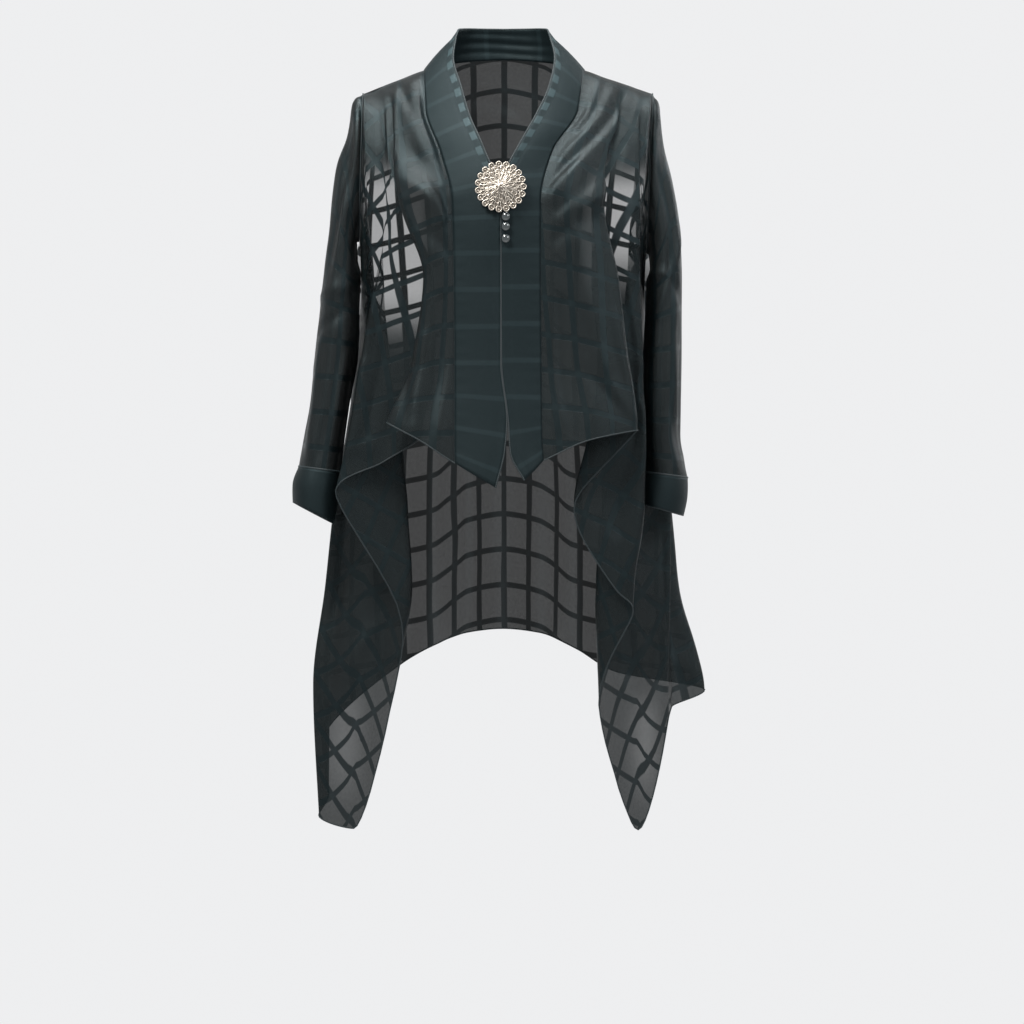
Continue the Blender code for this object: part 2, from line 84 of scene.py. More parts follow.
OUT_RIGHT = (
    # fold            top   60  120  190  300  420  520  620  740  880 1080
    ("band seam",    (117, 107,  70,  54,  54,  55,  56,  60,  60,  60,  60)),
    ("mid front",    (138, 130, 106,  92,  96, 106, 122, 125, 125, 125, 125)),
    ("front edge",   (160, 162, 149, 144, 164, 179, 190, 190, 190, 190, 190)),
    ("tuck",         (172, 168, 146, 126, 126, 136, 122, 101, 104, 104, 104)),
    ("wing inner",   (184, 180, 166, 158, 166, 180, 188, 162, 160, 160, 160)),
    ("wing edge",    (194, 194, 194, 195, 196, 199, 202, 200, 187, 184, 184)),
    ("inner fold",   (202, 198, 190, 184, 176, 166, 152, 140, 132, 136, 150)),
    ("tail middle",  (213, 209, 204, 198, 190, 184, 182, 184, 186, 190, 194)),
    ("side seam",    (214, 215, 213, 208, 202, 210, 226, 242, 241, 238, 244)),
    ("back pleat",   (213, 209, 205, 199, 191, 192, 206, 226, 236, 242, 244)),
    ("back fold",    (186, 190, 193, 200, 215, 222, 228, 243, 254, 290, 300)),
    ("shoulder blade", (150, 146, 141, 134, 131, 133, 141, 150, 156, 162, 166)),
    ("neck point",   (117, 111, 105,  98,  94,  94,  98, 103, 106, 108, 108)),
    ("back neck",    ( 58,  57,  54,  50,  48,  48,  50,  52,  52,  52,  52)),
    ("centre back",  (  0,   0,   0,   0,   0,   0,   0,   0,   0,   0,   0)),
)
DEPTH = (
    # fold             top   60  120   190   300   420   520   620   740   880  1080
    ("band seam",      ( 2, -50, -86, -110, -107, -104, -108, -110, -110, -110, -110)),
    ("mid front",      ( 3, -49, -88, -118, -110, -106, -112, -114, -114, -114, -114)),
    ("front edge",     ( 4, -43, -75,  -95,  -94,  -92,  -90,  -88,  -88,  -88,  -88)),
    ("tuck",           ( 5, -40, -69,  -84,  -77,  -73,  -69,  -67,  -66,  -66,  -66)),
    ("wing inner",     ( 6, -38, -64,  -76,  -70,  -64,  -60,  -57,  -56,  -54,  -54)),
    ("wing edge",      ( 7, -36, -60,  -70,  -62,  -56,  -52,  -48,  -46,  -42,  -42)),
    ("inner fold",     ( 7, -35, -56,  -63,  -48,  -34,  -26,  -20,  -14,   -8,   -4)),
    ("tail middle",    ( 8, -34, -51,  -55,  -36,    0,   30,   44,   40,   36,   36)),
    ("side seam",      ( 8,   5,   5,    6,   30,   62,   67,   67,   62,   58,   54)),
    ("back pleat",     ( 8,  42,  60,   66,   72,   82,   87,   86,   82,   77,   72)),
    ("back fold",      ( 8,  52,  76,   86,   93,  100,  106,  105,  101,   94,   88)),
    ("shoulder blade", ( 6,  66,  93,  109,  117,  124,  131,  134,  132,  128,  122)),
    ("neck point",     ( 2,  70,  98,  114,  117,  118,  118,  117,  114,  110,  104)),
    ("back neck",      (58,  95, 111,  121,  129,  137,  144,  149,  149,  146,  140)),
    ("centre back",    (74, 104, 116,  122,  122,  122,  122,  122,  120,  116,  110)),
)
ENDS = (
    # fold            shoulder  hem left  hem right
    ("band seam",     (    0,       563,      559)),
    ("mid front",     (    8,       530,      530)),
    ("front edge",    (   15,       505,      516)),
    ("tuck",          (   19,       524,      628)),
    ("wing inner",    (   23,       560,      741)),
    ("wing edge",     (   27,       602,      775)),
    ("inner fold",    (   30,       838,      908)),
    ("tail middle",   (   33,      1086,     1088)),
    ("side seam",     (   33,      1068,      925)),
    ("back pleat",    (   33,      1036,      912)),
    ("back fold",     (   24,       962,      888)),
    ("shoulder blade", (  12,       856,      862)),
    ("neck point",    (    0,       826,      830)),
    ("back neck",     (  -14,       806,      806)),
    ("centre back",   (  -18,       800,      800)),
)
# Rings of each sleeve from the armhole down, then of each cuff.
SLEEVE_RINGS = {
    # outer out, outer drop, inner out, inner drop, half depth
    "left": (
        (199.0,  33.0, 205.0, 245.0, 36.0),
        (211.0,  52.0, 209.0, 247.0, 41.0),
        (221.0,  97.0, 210.0, 252.0, 42.0),
        (236.0, 141.0, 210.5, 262.0, 42.0),
        (247.0, 234.0, 210.5, 293.0, 42.0),
        (256.0, 292.0, 210.5, 324.0, 42.0),
        (263.0, 352.0, 210.0, 366.0, 42.0),
        (270.0, 413.0, 213.0, 419.0, 41.0),
        (277.0, 478.0, 220.0, 481.0, 41.0),
        (285.0, 520.0, 226.0, 526.0, 40.0),
        (292.0, 566.0, 232.0, 574.0, 40.0),
    ),
    "right": (
        (213.0,  33.0, 205.0, 262.0, 36.0),
        (221.0,  58.0, 209.0, 264.0, 41.0),
        (231.0, 112.0, 210.0, 269.0, 42.0),
        (243.0, 160.0, 210.0, 279.0, 42.0),
        (254.0, 232.0, 210.0, 302.0, 41.0),
        (256.0, 306.0, 209.0, 335.0, 40.0),
        (256.0, 380.0, 206.5, 390.0, 40.0),
        (255.5, 450.0, 203.5, 454.0, 40.0),
        (254.5, 520.0, 203.0, 516.0, 40.0),
        (260.0, 556.0, 202.5, 550.0, 40.0),
        (264.0, 582.0, 202.0, 574.0, 40.0),
    ),
}
CUFF_RINGS = {
    "left": (
        (292.0, 567.2, 232.0, 575.2, 40.0),
        (299.0, 592.0, 237.0, 610.0, 41.0),
        (300.0, 618.0, 243.0, 648.0, 41.0),
    ),
    "right": (
        (264.0, 583.2, 202.0, 575.2, 40.0),
        (262.0, 610.0, 200.5, 598.0, 41.0),
        (258.0, 637.0, 199.0, 620.0, 41.0),
    ),
}
BAND_SECTIONS = {
    # seam drop, edge out, edge depth, edge drop
    "left": (
        (  0,  67,    4,  -50),
        ( 20,  71,  -22,  -18),
        ( 50,  60,  -52,   24),
        ( 92,  47,  -78,   69),
        (122,  34,  -98,   99),
        (155,  18, -114,  137),
        (180, 2.8, -122,  166),
        (210, 2.8, -125,  206),
        (300, 2.8, -117,  300),
        (420, 3.0, -113,  420),
        (492, -5.5, -115, 502),
        (532,  -2, -118,  548),
        (562,  10, -120,  596),
    ),
    "right": (
        (  0,   67,    4,  -50),
        ( 20,   74,  -22,  -18),
        ( 46,   66,  -50,   24),
        ( 78,   47,  -77,   67),
        (104,   31,  -96,   96),
        (130,   12, -113,  131),
        (156, -2.2, -121,  160),
        (204, -2.2, -125,  205),
        (300, -2.2, -117,  300),
        (420, -1.6, -113,  420),
        (500,  7.8, -115,  502),
        (530,   11, -118,  548),
        (558,   30, -120,  586),
    ),
}
COLLAR_EDGE = (
    # edge out, edge depth, edge drop, shoulder to centre back
    (67,  4, -50),
    (63, 28, -60),
    (40, 56, -62),
    ( 0, 66, -62),
)

# Creases of the panels, each a soft ridge, or a trough where its height is below 0. A place is
# counted in folds from the band seam, 0, over the side seam, 8, to the centre back, 14.
CREASES = {
    "front_left": (
        # place, drop, to place, to drop, bow, width, height
        (0.20, 168, 1.85,  30,   6, 13,  4.2),
        (0.15, 200, 2.10,  96,   5, 11, -3.4),
        (0.25, 120, 1.20,  14,   4,  9,  3.0),
        (0.55, 215, 2.20, 150,   4, 12,  3.6),
        (1.20,  60, 1.90,  18,   0,  8, -2.4),
        (0.40, 262, 1.60, 205,  -4, 12, -2.6),
        (1.10, 225, 1.55, 400,   8, 14,  3.0),
        (0.60, 330, 0.90, 520,  -5, 12, -2.8),
        (1.50, 380, 1.15, 515,   4, 10,  3.0),
        (0.15, 430, 0.45, 540,   0,  8,  2.0),
        (1.90, 440, 1.40, 500,   0,  7, -2.2),
        (2.30,  40, 2.50, 190,   3,  8,  2.4),
        (2.80,  44, 3.10, 150,  -2,  7, -2.0),
        (3.90,  60, 4.30, 200,   3,  7,  2.2),
        (4.50, 190, 4.30, 330,   4,  8, -2.4),
        (4.55, 250, 4.85, 540,   8, 10,  3.4),
        (4.25, 380, 4.45, 520,   0,  8, -2.8),
        (4.80, 420, 4.35, 545,   5,  7,  2.4),
        (5.40, 300, 5.60, 560,   0, 10,  2.0),
        (6.35, 330, 6.50, 700,   8, 13,  3.4),
        (6.70, 520, 6.60, 860,  -6, 12, -3.4),
        (7.20, 480, 7.15, 900,  10, 15,  4.4),
        (7.55, 560, 7.60, 980,  -6, 13, -4.0),
        (6.60, 780, 7.40, 900,   6, 10,  2.6),
        (6.90, 960, 7.70, 880,   4,  9,  2.8),
        (7.30, 700, 7.85, 800,   0, 10, -2.2),
        (7.80, 330, 7.75, 560,   4, 11,  2.6),
    ),
    "front_right": (
        (0.20, 150, 1.75,  26,   6, 12,  4.0),
        (0.20, 188, 1.90,  84,   4, 12,  4.0),
        (0.15, 170, 1.80,  58,   5,  9, -3.4),
        (0.60, 205, 1.95, 138,   4, 10, -3.0),
        (0.25, 100, 1.05,  12,   3,  8,  2.8),
        (1.30, 200, 1.98, 172,   2, 10,  3.6),
        (0.50, 246, 1.50, 220,  -3, 11, -2.2),
        (1.25, 232, 1.45, 420,   6, 13,  2.6),
        (0.75, 330, 0.60, 520,   4, 12, -2.8),
        (1.40, 400, 1.95, 515,   5,  8,  3.0),
        (1.10, 430, 1.85, 508,   3,  7, -2.4),
        (1.70, 350, 1.95, 500,   0,  7,  2.6),
        (0.20, 440, 0.50, 535,   0,  8,  2.2),
        (2.40,  50, 2.60, 180,   3,  7,  2.0),
        (3.00, 430, 2.60, 560,   4,  8, -2.6),
        (3.60, 470, 3.40, 640,   5,  9,  2.8),
        (4.40, 120, 4.60, 420,   5,  9,  2.6),
        (4.20, 430, 4.00, 660,   6,  9, -3.0),
        (4.65, 480, 4.45, 730,  -5, 10,  3.2),
        (5.50, 420, 5.60, 700,   0, 10,  2.0),
        (6.30, 420, 6.45, 820,   8, 13,  3.2),
        (6.70, 560, 6.60, 930,  -6, 12, -3.4),
        (7.20, 470, 7.15, 960,   8, 14,  4.0),
        (7.60, 560, 7.55, 880,  -5, 12, -3.4),
        (6.60, 860, 7.35, 980,   5, 10,  2.6),
        (7.05, 1010, 7.50, 900,  4,  9,  2.6),
    ),
    "back": (
        (8.60, 220, 9.30, 460,   6, 12, -3.0),
        (9.40, 150, 9.80, 420,   5, 13,  3.4),
        (9.20, 470, 9.60, 860,   8, 14,  3.6),
        (10.2, 110, 10.8, 330,  -6, 14, -3.4),
        (10.4, 380, 10.6, 760,  10, 15,  4.2),
        (10.9, 560, 11.2, 850,  -6, 12, -3.2),
        (11.3,  60, 12.3, 130,   6, 12,  3.0),
        (11.8,  70, 12.9, 190,   8, 13, -3.0),
        (12.2, 250, 12.5, 640,   8, 14,  3.6),
        (12.7, 480, 12.9, 790,  -5, 12, -3.4),
        (13.3,  40, 14.6,  70,   5, 10,  2.4),
        (13.5, 160, 13.7, 560,   7, 13, -3.0),
        (14.3, 210, 14.2, 700,  -8, 15,  3.4),
        (14.9, 120, 15.1, 430,   6, 12, -3.0),
        (15.4, 420, 15.3, 790,   8, 14,  3.8),
        (15.9,  60, 17.0, 150,   6, 12,  3.0),
        (16.3, 190, 16.7, 520,  -6, 13, -3.2),
        (16.8, 470, 16.6, 820,   6, 14,  3.6),
        (17.4, 100, 17.7, 380,   5, 13,  3.2),
        (17.8, 460, 17.6, 850,  -7, 14, -3.6),
        (18.3, 210, 18.6, 560,   6, 13,  3.4),
        (18.9, 380, 18.8, 820,   8, 14, -3.4),
        (19.4, 260, 19.5, 700,   5, 12,  3.0),
    ),
}
# Creases of the sleeves. A turn is 0 on the outside of the arm, a quarter at the front and a half
# on the inside, and a reach is 0 at the armhole and 1 at the cuff.
SLEEVE_CREASES = {
    "left": (
        # turn, reach, to turn, to reach, bow, width, height
        (0.06, 0.03, 0.10, 0.42,   5, 11,  3.6),
        (0.17, 0.05, 0.14, 0.36,  -4,  9, -3.0),
        (0.28, 0.10, 0.20, 0.40,   4, 10,  3.2),
        (0.05, 0.46, 0.34, 0.38,   4,  9,  3.4),
        (0.08, 0.56, 0.36, 0.45,   3,  8, -3.0),
        (0.12, 0.60, 0.18, 0.96,   5, 10,  3.2),
        (0.28, 0.58, 0.25, 0.98,  -4, 10, -3.0),
        (0.36, 0.62, 0.33, 0.90,   3,  9,  2.8),
        (0.02, 0.70, 0.07, 0.97,   0,  9, -2.6),
        (0.56, 0.10, 0.62, 0.48,   5, 11,  3.2),
        (0.70, 0.05, 0.66, 0.40,  -4, 10, -3.0),
        (0.84, 0.08, 0.80, 0.46,   5, 11,  3.4),
        (0.62, 0.52, 0.88, 0.44,   4,  9,  3.0),
        (0.64, 0.60, 0.70, 0.96,   4, 10,  3.0),
        (0.82, 0.56, 0.78, 0.97,  -3, 10, -3.0),
    ),
    "right": (
        (0.08, 0.04, 0.12, 0.50,   5, 10,  3.8),
        (0.20, 0.06, 0.18, 0.34,  -4,  9, -3.0),
        (0.21, 0.36, 0.06, 0.27,   0,  6,  3.0),
        (0.21, 0.36, 0.36, 0.29,   0,  6,  3.0),
        (0.21, 0.36, 0.08, 0.46,   0,  6, -2.8),
        (0.21, 0.36, 0.34, 0.47,   0,  6,  2.8),
        (0.21, 0.36, 0.22, 0.24,   0,  6, -2.6),
        (0.17, 0.44, 0.13, 0.80,   4,  9,  3.8),
        (0.26, 0.50, 0.29, 0.92,  -4,  9, -3.0),
        (0.36, 0.52, 0.34, 0.96,   3,  9,  3.0),
        (0.06, 0.58, 0.05, 0.96,   3,  9, -2.8),
        (0.20, 0.82, 0.17, 0.99,   0,  8,  2.6),
        (0.58, 0.08, 0.62, 0.44,   5, 11,  3.2),
        (0.72, 0.06, 0.68, 0.42,  -4, 10, -3.0),
        (0.86, 0.10, 0.82, 0.48,   5, 11,  3.2),
        (0.60, 0.50, 0.86, 0.42,   4,  9,  3.0),
        (0.66, 0.58, 0.70, 0.96,   4, 10,  3.0),
        (0.84, 0.56, 0.80, 0.97,  -3, 10, -3.0),
    ),
}


# Where the weave is pulled open under the arms, so that more light comes through.
THIN_PATCHES = {
    # first place, last place, top drop, bottom drop, how far
    "front_left": ((2.2, 7.6, 112, 420, 1.0), (6.6, 7.9, 860, 1080, 0.12)),
    "front_right": ((20.5, 25.5, 116, 350, 1.0), (20.2, 21.4, 880, 1080, 0.16)),
    "back": ((8.2, 11.9, 112, 420, 0.9), (16.3, 19.8, 116, 350, 0.9)),
}


class Side(Enum):
    """One side of the garment, as seen from the front."""

    LEFT = "left"
    RIGHT = "right"

    @property
    def sign(self) -> int:
        """The sign of X on this side."""
        return -1 if self is Side.LEFT else 1


class Hold(Enum):
    """How a sheet of cloth is held."""

    DRAPED = "draped"
    HUNG = "hung"
    FOLDED = "folded"


# ---------------------------------------------------------------------------- shader maths


class Value:
    """A socket of a material's nodes, with arithmetic that adds Math nodes."""

    def __init__(self, graph: Graph, socket: bpy.types.NodeSocket) -> None:
        """Wraps a socket of a graph."""
        self.graph = graph
        self.socket = socket

    def _math(self, operation: str, *values: Any) -> Value:
        """A Math node on these values."""
        return self.graph.node("ShaderNodeMath", {"operation": operation}, dict(enumerate(values)))

    def __add__(self, other: Any) -> Value:
        """Sum."""
        return self._math("ADD", self, other)

    __radd__ = __add__

    def __sub__(self, other: Any) -> Value:
        """Difference."""
        return self._math("SUBTRACT", self, other)

    def __rsub__(self, other: Any) -> Value:
        """Reflected difference."""
        return self._math("SUBTRACT", other, self)

    def __mul__(self, other: Any) -> Value:
        """Product."""
        return self._math("MULTIPLY", self, other)

    __rmul__ = __mul__

    def __truediv__(self, other: Any) -> Value:
        """Quotient."""
        return self._math("DIVIDE", self, other)

    def wrapped(self, low: float, high: float) -> Value:
        """The value wrapped into a range."""
        return self._math("WRAP", self, high, low)

    def size(self) -> Value:
        """The value without its sign."""
        return self._math("ABSOLUTE", self)

    def sine(self) -> Value:
        """The sine of the value."""
        return self._math("SINE", self)

    def most(self, other: Any) -> Value:
        """The larger of two values."""
        return self._math("MAXIMUM", self, other)

    def band(self, half: float, soft: float) -> Value:
        """1 where the value is within a half width of 0, falling to 0 over a soft edge."""
        settings = {"interpolation_type": "SMOOTHSTEP", "clamp": True}
        inputs = {"Value": self.size(), "From Min": half - soft, "From Max": half + soft,
                  "To Min": 1.0, "To Max": 0.0}
        return self.graph.node("ShaderNodeMapRange", settings, inputs)


class Graph:
    """The nodes of one material."""

    def __init__(self, name: str) -> None:
        """Starts a material with only its Principled shader."""
        self.material = bpy.data.materials.new(name)
        self.material.use_nodes = True
        self.tree = self.material.node_tree
        self.shader = self.tree.nodes["Principled BSDF"]

    def node(
        self, kind: str, settings: dict[str, Any], inputs: dict[Any, Any], output: Any = 0
    ) -> Value:
        """Adds a node.

        Args:
            kind: The node's type.
            settings: Properties, set before anything is linked.
            inputs: Values or links, by the socket's name or number.
            output: The name or number of the output wanted.

        Returns:
            That output.
        """
        made = self.tree.nodes.new(kind)
        for key, value in settings.items():
            setattr(made, key, value)
        for key, value in inputs.items():
            self.feed(made.inputs[key], value)
        return Value(self, made.outputs[output])

    def feed(self, socket: bpy.types.NodeSocket, value: Any) -> None:
        """Sets a socket, or links it."""
        if isinstance(value, Value):
            self.tree.links.new(value.socket, socket)
        else:
            socket.default_value = value

    def finish(self, inputs: dict[str, Any]) -> bpy.types.Material:
        """Feeds the Principled shader and returns the material."""
        for key, value in inputs.items():
            self.feed(self.shader.inputs[key], value)
        return self.material

    def mix(self, share: Value, first: tuple[float, ...], second: Any) -> Value:
        """A colour between two, by a share from 0 to 1."""
        return self.node("ShaderNodeMix", {"data_type": "RGBA"},
                         {0: share, 6: first, 7: second}, output=2)

    def cut(self) -> tuple[Value, Value, Value]:
        """The place on the flat cut, in metres: across, along, and both as a vector."""
        place = self.node("ShaderNodeUVMap", {"uv_map": "cut"}, {})
        parts = self.node("ShaderNodeSeparateXYZ", {}, {0: place})
        return parts, Value(self, parts.socket.node.outputs[1]), place

    def noise(self, place: Value, scale: float, detail: float = 2.0) -> Value:
        """Soft noise about 0.5 at a place, with its features 1/scale across."""
        return self.node("ShaderNodeTexNoise", {"noise_dimensions": "3D"},
                         {"Vector": place, "Scale": scale, "Detail": detail})

    def bump(self, height: Value, depth: float, strength: float = 1.0) -> Value:
        """A surface normal that follows a height."""
        return self.node("ShaderNodeBump", {},
                         {"Height": height, "Distance": depth, "Strength": strength})


# ---------------------------------------------------------------------------- finishes


DARK_SHEEN = (0.45, 0.76, 0.84, 1)  # of the fibres' fuzz
DARK_GLOSS = (0.74, 0.95, 1.0, 1)  # of the threads' shine
BAND_THREADS = 5700.0  # radians of weave to a metre


@dataclass(frozen=True)
class SheerCheck:
    """A sheer dark plain weave with satin bars in a large windowpane check."""

    ground: tuple[float, ...] = (0.0020, 0.0032, 0.0036, 1)
    bar: tuple[float, ...] = (0.0014, 0.0028, 0.0033, 1)
    warm: tuple[float, ...] = (0.0075, 0.0062, 0.0054, 1)
    satin: tuple[float, ...] = (0.0042, 0.0080, 0.0092, 1)
    repeat_across: float = 0.040
    repeat_along: float = 0.051
    bar_width: float = 0.0082
    sheer: float = 0.935
    backlit: float = 0.60
    thread: float = 0.0011
    wander: float = 0.0035  # how far the bars drift, in metres
    solid_bar: float = 0.985

    def material(self, name: str) -> bpy.types.Material:
        """Builds the material under this name."""
        graph = Graph(name)
        across, along, place = graph.cut()
        half, soft = self.bar_width / 2, 0.0008
        drift = (graph.noise(place, 14.0) - 0.5) * self.wander
        warp = (across + drift).wrapped(-self.repeat_across / 2, self.repeat_across / 2)
        weft = (along + drift).wrapped(-self.repeat_along / 2, self.repeat_along / 2)
        warp_bar, weft_bar = warp.band(half, soft), weft.band(half, soft)
        bars = warp_bar.most(weft_bar)
        crossing = warp_bar * weft_bar
        pitch = math.tau / self.thread
        threads = (across * pitch).sine() * (along * pitch).sine()
        slubs = graph.noise(place, 260.0, 3.0)
        clouds = graph.noise(place, 9.0, 3.0)
        ground = graph.mix(clouds * 0.55, self.ground, self.warm)
        satin = graph.mix(crossing * 0.35 + slubs * 0.35, self.bar, self.satin)
        colour = graph.node("ShaderNodeMix", {"data_type": "RGBA"},
                            {0: bars * 0.85, 6: ground, 7: satin}, output=2)
        rough = 0.43 - bars * 0.07 + (slubs - 0.5) * 0.12
        thin = graph.node("ShaderNodeAttribute", {"attribute_name": "thin"}, {}, output="Fac")
        pane = self.sheer - thin * self.backlit + (slubs - 0.5) * 0.05
        alpha = pane + bars * (self.solid_bar - pane)
        height = threads * 0.35 + bars * 0.9 + slubs * 0.5
        return graph.finish({
            "Base Color": colour, "Roughness": rough, "Alpha": alpha,
            "Normal": graph.bump(height, 0.00022, 0.7),
            "Sheen Weight": 0.006, "Sheen Roughness": 0.30, "Sheen Tint": DARK_SHEEN,
            "Specular IOR Level": 0.155, "Specular Tint": DARK_GLOSS,
        })


@dataclass(frozen=True)
class FoldedBand:
    """The same cloth folded double, with its bars showing as close blocks."""

    ground: tuple[float, ...] = (0.0014, 0.0029, 0.0034, 1)
    block: tuple[float, ...] = (0.0150, 0.0240, 0.0265, 1)
    edge_width: float = 0.011
    repeat: float = 0.026
    strip: float = 1.0

    def material(self, name: str) -> bpy.types.Material:
        """Builds the material under this name."""
        graph = Graph(name)
        across, along, place = graph.cut()
        strip = (across - self.edge_width * 0.62).band(self.edge_width * 0.40, 0.0006)
        strip = strip * (along + 0.09).band(0.14, 0.05) * self.strip
        blocks = along.wrapped(-self.repeat / 2, self.repeat / 2).band(self.repeat * 0.26, 0.0012)
        crossbar = along.wrapped(-self.repeat, self.repeat).band(0.0036, 0.0010)
        slubs = graph.noise(place, 240.0, 3.0)
        clouds = graph.noise(place, 12.0, 3.0)
        light = strip * blocks + crossbar * 0.22 * (1 - strip)
        colour = graph.mix(light * 0.8 + slubs * 0.10 + clouds * 0.08, self.ground, self.block)
        threads = (across * BAND_THREADS).sine() * (along * BAND_THREADS).sine()
        return graph.finish({
            "Base Color": colour, "Roughness": 0.56 - light * 0.14 + (slubs - 0.5) * 0.12,
            "Normal": graph.bump(threads * 0.35 + slubs * 0.6 + light, 0.0002, 0.7),
            "Sheen Weight": 0.006, "Sheen Roughness": 0.32, "Sheen Tint": DARK_SHEEN,
            "Specular IOR Level": 0.135, "Specular Tint": DARK_GLOSS,
        })


@dataclass(frozen=True)
class RolledEdge:
    """Cloth rolled tight and sewn, with a thread showing at each stitch."""

    cloth: tuple[float, ...] = (0.0040, 0.0075, 0.0088, 1)
    thread: tuple[float, ...] = (0.0090, 0.0145, 0.0160, 1)
    stitch: float = 0.0026

    def material(self, name: str) -> bpy.types.Material:
        """Builds the material under this name."""
        graph = Graph(name)
        _, along, place = graph.cut()
        stitches = along.wrapped(-self.stitch / 2, self.stitch / 2).band(self.stitch * 0.2, 0.0004)
        wear = graph.noise(place, 120.0, 3.0)
        return graph.finish({
            "Base Color": graph.mix(stitches * 0.6 + wear * 0.2, self.cloth, self.thread),
            "Roughness": 0.55 + (wear - 0.5) * 0.2,
            "Normal": graph.bump(stitches + wear * 0.4, 0.0003, 0.8),
            "Sheen Weight": 0.03, "Sheen Roughness": 0.4, "Sheen Tint": (0.5, 0.78, 0.86, 1),
            "Specular IOR Level": 0.25,
        })


@dataclass(frozen=True)
class GlossButton:
    """Dark polished composition, slightly uneven, with a hard clear surface."""

    dark: tuple[float, ...] = (0.0035, 0.0065, 0.0068, 1)
    worn: tuple[float, ...] = (0.016, 0.024, 0.025, 1)

    def material(self, name: str) -> bpy.types.Material:
        """Builds the material under this name."""
        graph = Graph(name)
        place = graph.node("ShaderNodeTexCoord", {}, {}, output="Object")
        mottle = graph.noise(place, 420.0, 3.0)
        return graph.finish({
            "Base Color": graph.mix(mottle * 0.6, self.dark, self.worn),
            "Roughness": 0.12 + mottle * 0.10,
            "Normal": graph.bump(mottle, 0.00008, 0.5),
            "Coat Weight": 0.8, "Coat Roughness": 0.06, "Specular IOR Level": 0.6,
        })


@dataclass(frozen=True)
class PaleSilver:
    """Pale champagne silver wire, its tone varied at random by tarnish; darker copies of it paint
    shade on the brooch's sunk parts.
    """

    bright: tuple[float, ...] = (0.37, 0.34, 0.30, 1)
    dull: tuple[float, ...] = (0.18, 0.158, 0.132, 1)

    def material(self, name: str) -> bpy.types.Material:
        """Builds the material under this name."""
        graph = Graph(name)
        place = graph.node("ShaderNodeTexCoord", {}, {}, output="Object")
        tarnish = graph.noise(place, 210.0, 4.0)
        grain = graph.noise(place, 1600.0, 2.0)
        return graph.finish({
            "Base Color": graph.mix(tarnish, self.bright, self.dull),
            "Metallic": 1.0,
            "Roughness": 0.24 + tarnish * 0.22 + (grain - 0.5) * 0.1,
            "Normal": graph.bump(grain, 0.00006, 0.6),
        })


@dataclass(frozen=True)
class StudioPaper:
    """Matt pale studio paper."""

    colour: tuple[float, ...] = (0.93, 0.932, 0.94, 1)

    def material(self, name: str) -> bpy.types.Material:
        """Builds the material under this name."""
        return Graph(name).finish({"Base Color": self.colour, "Roughness": 0.95})


# ---------------------------------------------------------------------------- surfaces


def smooth_through(knots: Any, values: Any, at: Any) -> np.ndarray:
    """Values on a cubic curve through given ones that never overshoots them.

    Args:
        knots: Rising places of the given values.
        values: The given values, one row for each knot.
        at: The places wanted.

    Returns:
        One row for each place wanted.
    """
    knots, values, at = (np.asarray(a, float) for a in (knots, values, at))
    steps = np.diff(knots)
    slopes = np.diff(values, axis=0) / steps.reshape(-1, *[1] * (values.ndim - 1))
    before, after = slopes[:-1], slopes[1:]
    total = np.where(before * after > 0, before + after, 1)
    inner = np.where(before * after > 0, 2 * before * after / total, 0)
    tangents = np.concatenate([slopes[:1], inner, slopes[-1:]])
    span = np.clip(np.searchsorted(knots, at) - 1, 0, len(steps) - 1)
    shape = at.shape + (1,) * (values.ndim - 1)
    width = steps[span].reshape(shape)
    t = ((at - knots[span]) / steps[span]).reshape(shape)
    return (
        values[span] * (1 + 2 * t) * (1 - t) ** 2
        + tangents[span] * width * t * (1 - t) ** 2
        + values[span + 1] * t**2 * (3 - 2 * t)
        + tangents[span + 1] * width * t**2 * (t - 1)
    )


def ease(t: Any) -> Any:
    """A smooth step from 0 to 1."""
    t = np.clip(t, 0, 1)
    return t * t * (3 - 2 * t)


def numbers(table: Iterable[Any]) -> np.ndarray:
    """The figures of a table with named rows."""
    return np.array([row[1] for row in table], float)


def unit(vectors: np.ndarray) -> np.ndarray:
    """The same directions, one long."""
    return vectors / np.maximum(np.linalg.norm(vectors, axis=-1, keepdims=True), 1e-9)


def face_way(rows: np.ndarray, around: bool = False) -> np.ndarray:
    """The direction that the cloth's outer face looks at each point of its rows."""
    if around:
        across = np.roll(rows, -1, axis=1) - np.roll(rows, 1, axis=1)
    else:
        across = np.gradient(rows, axis=1)
    return unit(np.cross(across, np.gradient(rows, axis=0)))


